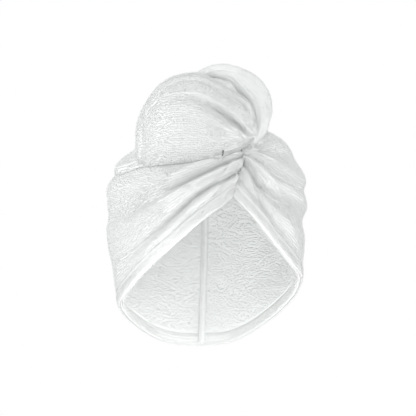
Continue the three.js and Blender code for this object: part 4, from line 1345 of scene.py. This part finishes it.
    def blend(self, piece: bpy.types.Object, skins: tuple[BVHTree, BVHTree]) -> None:
        """Smooths the line where the front fold runs out into the overlap on the left.

        Args:
            piece: both in one mesh.
            skins: the surface of each by itself.
        """
        points = mesh_points(piece)
        places = [Vector(p) for p in points]
        near = np.array([max(skin.find_nearest(p)[3] for skin in skins) for p in places])
        bearing = np.degrees(np.arctan2(points[:, 0], -points[:, 1]))
        edge = self.hood.at_drop(read(column(self.edge, 0), column(self.edge, 1), bearing))
        weight = (1 - smooth(near / self.blend_reach)) * (1 - smooth((points[:, 0] - 2) / 14))
        weight = weight * smooth((points[:, 2] - edge - 1.5) / 5)
        group = piece.vertex_groups.new(name="join")
        for index in np.flatnonzero(weight > 0.01):
            group.add([int(index)], float(weight[index]), "REPLACE")
        apply_modifier(piece, "SMOOTH", factor=0.5, iterations=self.blend_steps, vertex_group="join")

    def pile(self, wardrobe: Wardrobe, knot: bpy.types.Object, cover: BVHTree, pile: Pile) -> None:
        """Sets the loops on the knot.

        Args:
            wardrobe: the finishes.
            knot: the soft body.
            cover: what lies over it.
            pile: the loops.
        """
        rings = self.front_fold(170, 66, 46)
        lines = rings.transpose(1, 0, 2)
        parts = [pile.rows(lines, normals_towards(lines, lines - lines.mean(0)))]
        middle = rings[0].mean(axis=0)
        left_end = middle + (rings[0] - middle) * np.linspace(0.95, 0.15, 5)[:, None, None]
        parts.append(pile.rows(left_end, np.broadcast_to((-1.0, 0.0, 0.0), left_end.shape)))
        outer, _ = self.overlap(240, 34)
        parts.append(pile.rows(outer, normals_towards(outer, level_way(outer))))
        surface = surface_of([knot])
        loops = Loops.joined(parts).laid_on(surface, 2.2).uncovered(cover, 12.0)
        piece = pile.piece("knot_front_fold_pile", loops)
        wardrobe.dress(piece, wardrobe.terry, "terry")


def shade_smooth(piece: bpy.types.Object) -> None:
    """Shades a piece smooth all over."""
    piece.data.polygons.foreach_set("use_smooth", np.ones(len(piece.data.polygons), bool))


def keep_largest(piece: bpy.types.Object) -> None:
    """Deletes all but the largest connected part of a mesh.

    Args:
        piece: the object, which keeps its name and the largest part.
    """
    only(piece)
    bpy.ops.object.mode_set(mode="EDIT")
    bpy.ops.mesh.select_all(action="SELECT")
    bpy.ops.mesh.separate(type="LOOSE")
    bpy.ops.object.mode_set(mode="OBJECT")
    parts = sorted(bpy.context.selected_objects, key=lambda o: sum(p.area for p in o.data.polygons))
    largest = parts.pop()
    if largest != piece:
        piece.data, largest.data = largest.data, piece.data
        parts = [p for p in parts if p != piece] + [largest]
    for part in parts:
        bpy.data.objects.remove(part)


def moving_frame(path: np.ndarray) -> tuple[np.ndarray, np.ndarray, np.ndarray]:
    """Gives a frame that follows a path without turning about it.

    Args:
        path: points by three.

    Returns:
        Tangents, normals and sideways directions.
    """
    tangent = unit(np.gradient(path, axis=0))
    normal = np.zeros_like(path)
    least = np.eye(3)[np.argmin(np.abs(tangent[0]))]
    normal[0] = unit(least - tangent[0] * (least @ tangent[0]))
    for i in range(1, len(path)):
        turned = normal[i - 1] - tangent[i] * (normal[i - 1] @ tangent[i])
        normal[i] = unit(turned)
    return tangent, normal, np.cross(tangent, normal)


@dataclass
class FoldedRoll:
    """A soft roll of towelling along a path, pleated lengthwise.

    pleats gives count, depth as a share, and turns. creases gives the angle in degrees from the side that
    faces the viewer, the depth and the width in millimetres, for a roll that keeps one side to the viewer.
    """

    name: str
    path: np.ndarray
    radii: np.ndarray
    pleats: Rows
    creases: Rows = ()
    around: int = 72
    seed: int = 1
    voxel: float = 1.2

    def frames(self) -> tuple[np.ndarray, np.ndarray]:
        """Directions across the roll at each point of its path."""
        if not self.creases:
            return moving_frame(self.path)[1:]
        tangent = unit(np.gradient(self.path, axis=0))
        viewer = np.array([0.0, -1.0, 0.0])
        normal = unit(viewer - tangent * (tangent @ viewer)[:, None])
        return normal, np.cross(tangent, normal)

    def rings(self, around: int) -> np.ndarray:
        """Points of the roll's skin.

        Args:
            around: points round it.

        Returns:
            Rings by points round by three.
        """
        normal, beside = self.frames()
        t = np.linspace(0, 1, len(self.path))[:, None]
        a = np.linspace(0, 2 * np.pi, around, endpoint=False)[None, :]
        cap = np.sin(np.minimum(1, np.minimum(t, 1 - t) * 14 + 0.12) * np.pi / 2)
        shape = 1.0
        for count, share, turns in self.pleats:
            wave = np.cos(count * (a + 2 * np.pi * turns * t) + count)
            shape = shape + share * (1 - 2 * np.abs(wave) ** 0.7)
        radius = self.radii[:, None] * cap * shape
        for angle, depth, width in self.creases:
            off = (np.mod(a - math.radians(angle) + np.pi, 2 * np.pi) - np.pi) * radius
            radius = radius - depth * clamp01(radius / 10) * np.exp(-((off / width) ** 2))
        skin = skin_round(normal, beside, radius, a)
        points = self.path[:, None] + skin
        outward = unit(skin)
        lumps = 0.8 * waves(points, 38, self.seed) + 0.3 * waves(points, 13, self.seed + 1)
        return points + outward * (lumps * clamp01(radius / 8))[..., None]

    def build(self, wardrobe: Wardrobe, cutters: list[bpy.types.Object], replaced: str) -> bpy.types.Object:
        """Makes the roll and cuts it to its neighbours.

        Args:
            wardrobe: the finishes.
            cutters: the neighbours.
            replaced: the solid that it stands for.

        Returns:
            The roll.
        """
        piece = new_piece(self.name, *tube(self.rings(self.around)))
        apply_modifier(piece, "REMESH", mode="VOXEL", voxel_size=self.voxel * MM, adaptivity=0.0)
        for cutter in cutters:
            apply_modifier(piece, "BOOLEAN", operation="DIFFERENCE", solver="MANIFOLD", object=cutter)
            keep_largest(piece)
        shade_smooth(piece)
        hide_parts(replaced)
        wardrobe.dress(piece, wardrobe.terry, "terry")
        return piece

    def pile(self, wardrobe: Wardrobe, piece: bpy.types.Object, cover: BVHTree, pile: Pile) -> None:
        """Sets the loops along the roll.

        Args:
            wardrobe: the finishes.
            piece: the roll.
            cover: what lies over it.
            pile: the loops.
        """
        around = int(2 * np.pi * self.radii.max() / pile.pitch) + 4
        lines = self.rings(around).transpose(1, 0, 2)
        normals = unit(lines - self.path[None])
        loops = pile.rows(lines, normals).laid_on(surface_of([piece]), 1.5).uncovered(cover, 8.0)
        made = pile.piece(f"{self.name}_pile", loops)
        wardrobe.dress(made, wardrobe.terry, "terry")


@dataclass
class Tail:
    """The rest of the tail: the side fold that arches on the right, and two strands over the crown.

    A row of arch gives across, ahead, up and radius, as shares of the bun's width, of half the hood's depth,
    of the bun's width and of arch_radius. A row of rope gives across, back, up and radius, as shares of
    rope_radius, of half the depth, of button_drop and of rope_radius.
    """

    hood: Hood
    bun_width: float = 124.0
    arch_radius: float = 14.0
    rope_radius: float = 40.0
    rope_turns: float = 1.6
    button_drop: float = 200.0
    arch: Rows = (
        (-0.12, 0.214, 0.25, 0.45),
        (-0.06, 0.289, 0.345, 0.48),
        (0.06, 0.385, 0.405, 0.52),
        (0.22, 0.48, 0.39, 0.68),
        (0.34, 0.543, 0.302, 0.93),
        (0.427, 0.603, 0.194, 0.98),
        (0.456, 0.647, 0.085, 0.9),
        (0.458, 0.664, -0.008, 0.7),
        (0.44, 0.672, -0.085, 0.53),
        (0.403, 0.69, -0.149, 0.44),
        (0.36, 0.724, -0.202, 0.32),
    )
    rope: Rows = (
        (0, -0.176, 0.036, 0.9),
        (0.03, 0.124, 0.051, 1.0),
        (0.06, 0.434, 0.03, 1.0),
        (0.06, 0.724, -0.042, 0.96),
        (0.03, 0.9, -0.132, 0.9),
        (0, 1.024, -0.306, 0.78),
        (-0.03, 1.034, -0.498, 0.64),
        (-0.06, 0.998, -0.678, 0.48),
        (-0.09, 0.957, -0.84, 0.3),
    )

    def side_fold(self) -> FoldedRoll:
        """Lays out the fold that arches to the right, from behind the front fold to the gather point.

        Returns:
            The roll, not built yet.
        """
        where = np.linspace(0, len(self.arch) - 1, 110)
        across, ahead, up, radius = read(np.arange(len(self.arch)), np.array(self.arch), where).T
        half = self.hood.depth / 2
        path = np.stack([across * self.bun_width, -ahead * half, up * self.bun_width], -1)
        pleats = ((2, 0.03, 0.3),)
        creases = ((12, 1.3, 1.5), (36, 1.9, 1.5), (58, 2.0, 1.5), (80, 1.8, 1.5), (-30, 0.6, 1.8))
        radii = radius * self.arch_radius
        return FoldedRoll("tail_arch", path, radii, pleats, creases, around=110, seed=31, voxel=1.0)

    def strand(self, which: int) -> FoldedRoll:
        """Lays out one of the two strands that the tail is twisted from.

        Args:
            which: 0 or 1.

        Returns:
            The roll, not built yet.
        """
        where = np.linspace(0, len(self.rope) - 1, 150)
        across, back, up, radius = read(np.arange(len(self.rope)), np.array(self.rope), where).T
        half = self.hood.depth / 2
        spine = np.stack([across * self.rope_radius, back * half, up * self.button_drop], -1)
        radius = radius * self.rope_radius
        tangent = unit(np.gradient(spine, axis=0))
        sideways = np.array([1.0, 0, 0])
        upward = unit(np.cross(tangent, sideways))
        t = where / where[-1]
        a = (2 * np.pi * (self.rope_turns * t + which / 2))[:, None]
        centre = spine + 0.42 * radius[:, None] * (sideways * np.cos(a) + upward * np.sin(a))
        pleats = ((3, 0.06, 1.2), (5, 0.04, 0.8))
        name = f"tail_twist_{'one' if which == 0 else 'two'}"
        return FoldedRoll(name, centre, 0.6 * radius, pleats, around=72, seed=41 + 5 * which, voxel=1.7)


def envelope_of(left: Panel, right: Panel) -> bpy.types.Object:
    """Makes the hood filled in, to cut to it what lies on it.

    Args:
        left: the left panel.
        right: the right panel.

    Returns:
        A closed body that is deleted once the cutting is done.
    """
    rings = []
    for panel in (right, left):
        shares = np.linspace(0.0, 1.0, 90)
        if panel.side is Side.LEFT:
            shares = shares[::-1]
        face = panel.grid(panel.places(70, panel.even_at), shares, 0.3)
        rings.append(face.transpose(1, 0, 2))
    rings = np.concatenate(rings)
    crown = np.array([0.0, 0.0, rings[:, 0, 2].max()])
    under = np.array([0.0, 0.0, rings[:, -1, 2].min()])
    count, down = rings.shape[:2]
    points = np.concatenate([rings.reshape(-1, 3), [crown, under]])
    number = np.arange(count * down).reshape(count, down)
    ahead = np.roll(number, -1, axis=0)
    quads = np.stack([number[:, :-1], ahead[:, :-1], ahead[:, 1:], number[:, 1:]], -1).reshape(-1, 4)
    faces = np.concatenate([quads[:, [0, 1, 2]], quads[:, [0, 2, 3]]])
    top = np.stack([np.full(count, count * down), ahead[:, 0], number[:, 0]], -1)
    foot = np.stack([np.full(count, count * down + 1), number[:, -1], ahead[:, -1]], -1)
    faces = np.concatenate([faces, top, foot])
    return new_piece("filled_hood", points, facing_out(points, faces))


@dataclass
class Closure:
    """The button on the nape and the elastic loop that holds the tip of the tail to it."""

    hood: Hood
    drop: float = 200.0
    button_radius: float = 10.0
    button_thickness: float = 3.5
    shank_radius: float = 2.6
    shank_length: float = 4.2
    cord: float = 2.6
    length: float = 34.0
    clearance: float = 0.35

    def on_cloth(self, across: float, up: float, over: float) -> np.ndarray:
        """Finds a point over the cloth near the button.

        Args:
            across: distance to the side of the button's middle.
            up: distance above it.
            over: height over the outside of the hood.

        Returns:
            The point.
        """
        latitude = self.hood.latitude_at(math.pi, self.hood.top - self.drop + up)
        reach = abs(self.hood.point(math.pi, latitude)[1])
        bearing = self.hood.back_meeting(latitude) - across / reach
        return self.hood.lifted(bearing, latitude, over)

    def button(self, wardrobe: Wardrobe) -> None:
        """Models the button as by hand: a disc with its top dished and its shank drawn out.

        Args:
            wardrobe: the finishes.
        """
        foot = self.on_cloth(0.0, 0.0, self.clearance)
        latitude = self.hood.latitude_at(math.pi, self.hood.top - self.drop)
        axis = Vector(self.hood.normal(self.hood.back_meeting(latitude), latitude))
        bpy.ops.object.select_all(action="DESELECT")
        bpy.ops.mesh.primitive_cylinder_add(
            vertices=48,
            radius=self.button_radius * MM,
            depth=self.button_thickness * MM,
            location=(0, 0, (self.shank_length + self.button_thickness / 2) * MM),
        )
        piece = bpy.context.object
        piece.name = "nape_button_disc"
        bpy.ops.object.transform_apply(location=True, rotation=True, scale=True)
        self.shape_face(piece, top=True)
        self.shape_face(piece, top=False)
        apply_modifier(piece, "BEVEL", width=0.35 * MM, segments=3, limit_method="ANGLE")
        turn = Vector((0, 0, 1)).rotation_difference(axis).to_matrix().to_4x4()
        piece.data.transform(turn)
        for vertex in piece.data.vertices:
            vertex.co += Vector(foot) * MM
        only(piece)
        bpy.ops.object.shade_smooth_by_angle(angle=math.radians(40))
        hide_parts("nape_button")
        wardrobe.dress(piece, wardrobe.button, "button")

    def shape_face(self, piece: bpy.types.Object, top: bool) -> None:
        """Dishes the top of the button, or draws its shank out of the underside.

        Args:
            piece: the disc.
            top: whether it is the top.
        """
        only(piece)
        bpy.ops.object.mode_set(mode="EDIT")
        bpy.ops.mesh.select_all(action="DESELECT")
        bpy.ops.object.mode_set(mode="OBJECT")
        level = (self.shank_length + (self.button_thickness if top else 0)) * MM
        for polygon in piece.data.polygons:
            polygon.select = abs(polygon.center.z - level) < 1e-6 and abs(polygon.normal.z) > 0.9
        bpy.ops.object.mode_set(mode="EDIT")
        if top:
            bpy.ops.mesh.inset(thickness=self.button_radius * 0.2 * MM)
            bpy.ops.mesh.inset(thickness=self.button_radius * 0.1 * MM)
            bpy.ops.transform.translate(value=(0, 0, -self.button_thickness * 0.3 * MM))
        else:
            bpy.ops.mesh.inset(thickness=(self.button_radius - self.shank_radius) * MM)
            drawn = (0, 0, -self.shank_length * MM)
            bpy.ops.mesh.extrude_region_move(TRANSFORM_OT_translate={"value": drawn})
        bpy.ops.object.mode_set(mode="OBJECT")

    def route(self) -> np.ndarray:
        """Lays out the elastic loop, from the tip of the tail round the shank and back.

        Returns:
            Points along its centre line.
        """
        around = self.shank_radius + self.cord / 2 + 3 * self.clearance
        over = self.clearance + self.shank_length / 2
        leg = [(self.cord * 0.7, self.length), (around * 0.9, self.length * 0.45), (around, 0.0)]
        leg.append((around * 0.75, -around * 0.75))
        places = [(-x, z) for x, z in leg] + [(0.0, -around * 1.05)] + leg[::-1]
        points = np.array([self.on_cloth(x, z, over) for x, z in places])
        return read(np.arange(len(points)), points, np.linspace(0, len(points) - 1, 150))

    def loop(self, wardrobe: Wardrobe) -> None:
        """Makes the elastic as a cord of twisted strands.

        Args:
            wardrobe: the finishes.
        """
        path = self.route()
        _, normal, beside = moving_frame(path)
        t = np.linspace(0, 1, len(path))[:, None]
        a = np.linspace(0, 2 * np.pi, 18, endpoint=False)[None, :]
        radius = self.cord / 2 * (0.93 + 0.07 * np.abs(np.cos(3 * (a + 2 * np.pi * 9 * t))))
        skin = skin_round(normal, beside, radius, a)
        piece = new_piece("elastic_cord", *tube(path[:, None] + skin))
        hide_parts("elastic_loop")
        wardrobe.dress(piece, wardrobe.elastic, "elastic")


@dataclass
class BarTack:
    """The short dark tack low on the front fold: a padded bar wound over with thread."""

    length: float = 7.0
    width: float = 1.1
    wraps: int = 9

    def build(self, wardrobe: Wardrobe, surface: BVHTree) -> None:
        """Lays the tack on the cloth.

        Args:
            wardrobe: the finishes.
            surface: the knot that it is sewn on.
        """
        low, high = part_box("bar_tack")
        middle = (low + high) / 2 / MM
        at, normal, _, _ = surface.ray_cast(Vector((middle.x, -400, middle.z)), Vector((0, 1, 0)))
        bpy.ops.object.select_all(action="DESELECT")
        bpy.ops.mesh.primitive_cube_add(size=1)
        core = bpy.context.object
        core.name = "bar_tack_thread"
        core.data.transform(scaled(self.width * 0.7, self.width * 0.5, self.length))
        apply_modifier(core, "BEVEL", width=0.25 * MM, segments=2)
        copies = []
        for i in range(self.wraps):
            bpy.ops.object.select_all(action="DESELECT")
            bpy.ops.mesh.primitive_torus_add(
                major_segments=14, minor_segments=6, major_radius=self.width * 0.5 * MM, minor_radius=0.3 * MM
            )
            wrap = bpy.context.object
            wrap.data.transform(scaled(1 / MM, 0.75 / MM, 1 / MM))
            share = (i + 0.5) / self.wraps - 0.5
            for vertex in wrap.data.vertices:
                vertex.co.z += share * self.length * MM * 0.96
            copies.append(wrap)
        bpy.ops.object.select_all(action="DESELECT")
        for piece in (*copies, core):
            piece.select_set(True)
        bpy.context.view_layer.objects.active = core
        bpy.ops.object.join()
        turn = Vector((0, -1, 0)).rotation_difference(normal).to_matrix().to_4x4()
        core.data.transform(turn)
        for vertex in core.data.vertices:
            vertex.co += (at + normal * 0.7) * MM
        shade_smooth(core)
        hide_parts("bar_tack")
        wardrobe.dress(core, wardrobe.tack, "thread")


def scaled(x: float, y: float, z: float) -> Matrix:
    """A matrix that scales by these factors, read as millimetres."""
    return Matrix.Diagonal((x * MM, y * MM, z * MM, 1))


@dataclass
class Studio:
    """A plain pale studio with soft light, and a level camera with a long lens before the face opening."""

    distance: float = 6.0
    shown: float = 0.4368
    across: float = 0.0021
    level: float = -0.09135
    floor_drop: float = 0.42
    ambient: float = 0.815

    def camera(self) -> None:
        """Sets up the camera."""
        data = bpy.data.cameras.new("camera")
        data.sensor_width = 36
        data.lens = data.sensor_width * self.distance / self.shown
        data.clip_end = 50
        camera = bpy.data.objects.new("camera", data)
        camera.location = (self.across, -self.distance, self.level)
        camera.rotation_euler = (math.radians(90), 0, 0)
        bpy.context.scene.collection.objects.link(camera)
        bpy.context.scene.camera = camera

    def light(self, name: str, place: Point, target: Point, size: float, power: float) -> None:
        """Adds a soft square light.

        Args:
            name: its name.
            place: where it stands, in metres.
            target: what it faces.
            size: length of its side.
            power: its power in watts.
        """
        data = bpy.data.lights.new(name, "AREA")
        data.size = size
        data.energy = power
        lamp = bpy.data.objects.new(name, data)
        lamp.location = place
        lamp.visible_camera = False
        aim = Vector(target) - Vector(place)
        lamp.rotation_euler = aim.to_track_quat("-Z", "Y").to_euler()
        bpy.context.scene.collection.objects.link(lamp)

    def build(self) -> None:
        """Makes the room, the lights and the camera."""
        bpy.ops.object.select_all(action="DESELECT")
        bpy.ops.mesh.primitive_circle_add(
            vertices=96, radius=1.1, fill_type="NGON", location=(0, 0, -self.floor_drop)
        )
        floor = bpy.context.object
        floor.name = "studio_floor"
        paper = Plain("studio_paper", (0.9, 0.9, 0.9), 0.9, grain=40.0, depth=0.0001, strength=0.05)
        floor.data.materials.append(paper.material())
        self.surroundings()
        bpy.context.scene.view_settings.view_transform = "Standard"
        middle = (0.0, 0.0, self.level)
        self.light("left_softbox", (-2.8, -1.2, 0.7), middle, 1.6, 34)
        self.light("front_softbox", (-0.5, -3.2, -0.6), middle, 1.8, 9)
        self.light("right_softbox", (2.8, -0.9, 0.4), middle, 1.6, 23)
        self.light("hollow_fill", (0.01, -0.13, -0.225), (0.0, 0.1, -0.11), 0.12, 0.21)
        self.camera()

    def surroundings(self) -> None:
        """Makes the white surroundings, which light the towel less brightly than they look."""
        world = bpy.data.worlds.new("studio")
        world.use_nodes = True
        nodes = world.node_tree.nodes
        links = world.node_tree.links
        dim = nodes["Background"]
        dim.inputs["Color"].default_value = (1, 1, 1, 1)
        dim.inputs["Strength"].default_value = self.ambient
        seen = nodes.new("ShaderNodeBackground")
        seen.inputs["Color"].default_value = (1, 1, 1, 1)
        ray = nodes.new("ShaderNodeLightPath")
        mix = nodes.new("ShaderNodeMixShader")
        links.new(ray.outputs["Is Camera Ray"], mix.inputs["Fac"])
        links.new(dim.outputs["Background"], mix.inputs[1])
        links.new(seen.outputs["Background"], mix.inputs[2])
        links.new(mix.outputs["Shader"], nodes["World Output"].inputs["Surface"])
        bpy.context.scene.world = world


def main() -> None:
    """Builds every piece in order."""
    logging.basicConfig(level=logging.INFO, format="%(name)s %(message)s")
    Studio().build()
    wardrobe = Wardrobe()
    hood = Hood()
    left = Panel(hood, Side.LEFT, STATIONS_LEFT, LINES_LEFT, PANEL_CREASES_LEFT)
    right = Panel(hood, Side.RIGHT, STATIONS_RIGHT, LINES_RIGHT, PANEL_CREASES_RIGHT)
    cloths = [panel.build(wardrobe) for panel in (left, right)]
    filled = envelope_of(left, right)
    knot = Knot(hood)
    front = knot.build(wardrobe, filled)
    log.info("knot: %d faces", len(front.data.polygons))
    tail = Tail(hood)
    arch = tail.side_fold()
    arch_piece = arch.build(wardrobe, [filled, front], "tail_side_fold")
    one = tail.strand(0)
    one_piece = one.build(wardrobe, [filled, front, arch_piece], "tail_strand_one")
    two = tail.strand(1)
    two_piece = two.build(wardrobe, [filled, front, arch_piece, one_piece], "tail_strand_two")
    bpy.data.objects.remove(filled)
    pile = Pile()
    inside = Pile(pitch=2.5, step=1.9, span=2.2, height=1.4, wander=0.7, seed=6)
    rough = Pile(pitch=2.7, step=2.0, span=2.6, seed=7)
    cover = surface_of([front, arch_piece, one_piece, two_piece])
    piles = [panel.pile(wardrobe, cover, pile, inside) for panel in (left, right)]
    knot.pile(wardrobe, front, surface_of([arch_piece, one_piece, two_piece]), pile)
    low = Pile(pitch=2.2, step=1.7, height=0.8, yarn=0.45, seed=8)
    arch.pile(wardrobe, arch_piece, surface_of([front]), low)
    one.pile(wardrobe, one_piece, surface_of([two_piece]), rough)
    two.pile(wardrobe, two_piece, surface_of([one_piece]), rough)
    for panel, cloth, on_it in zip((left, right), cloths, piles):
        hem = Hem(hood, panel.side).build(wardrobe, pile)
    BackSeam(hood).build(wardrobe, pile)
    closure = Closure(hood)
    closure.button(wardrobe)
    closure.loop(wardrobe)
    BarTack().build(wardrobe, surface_of([front]))


if __name__ == "__main__":
    main()
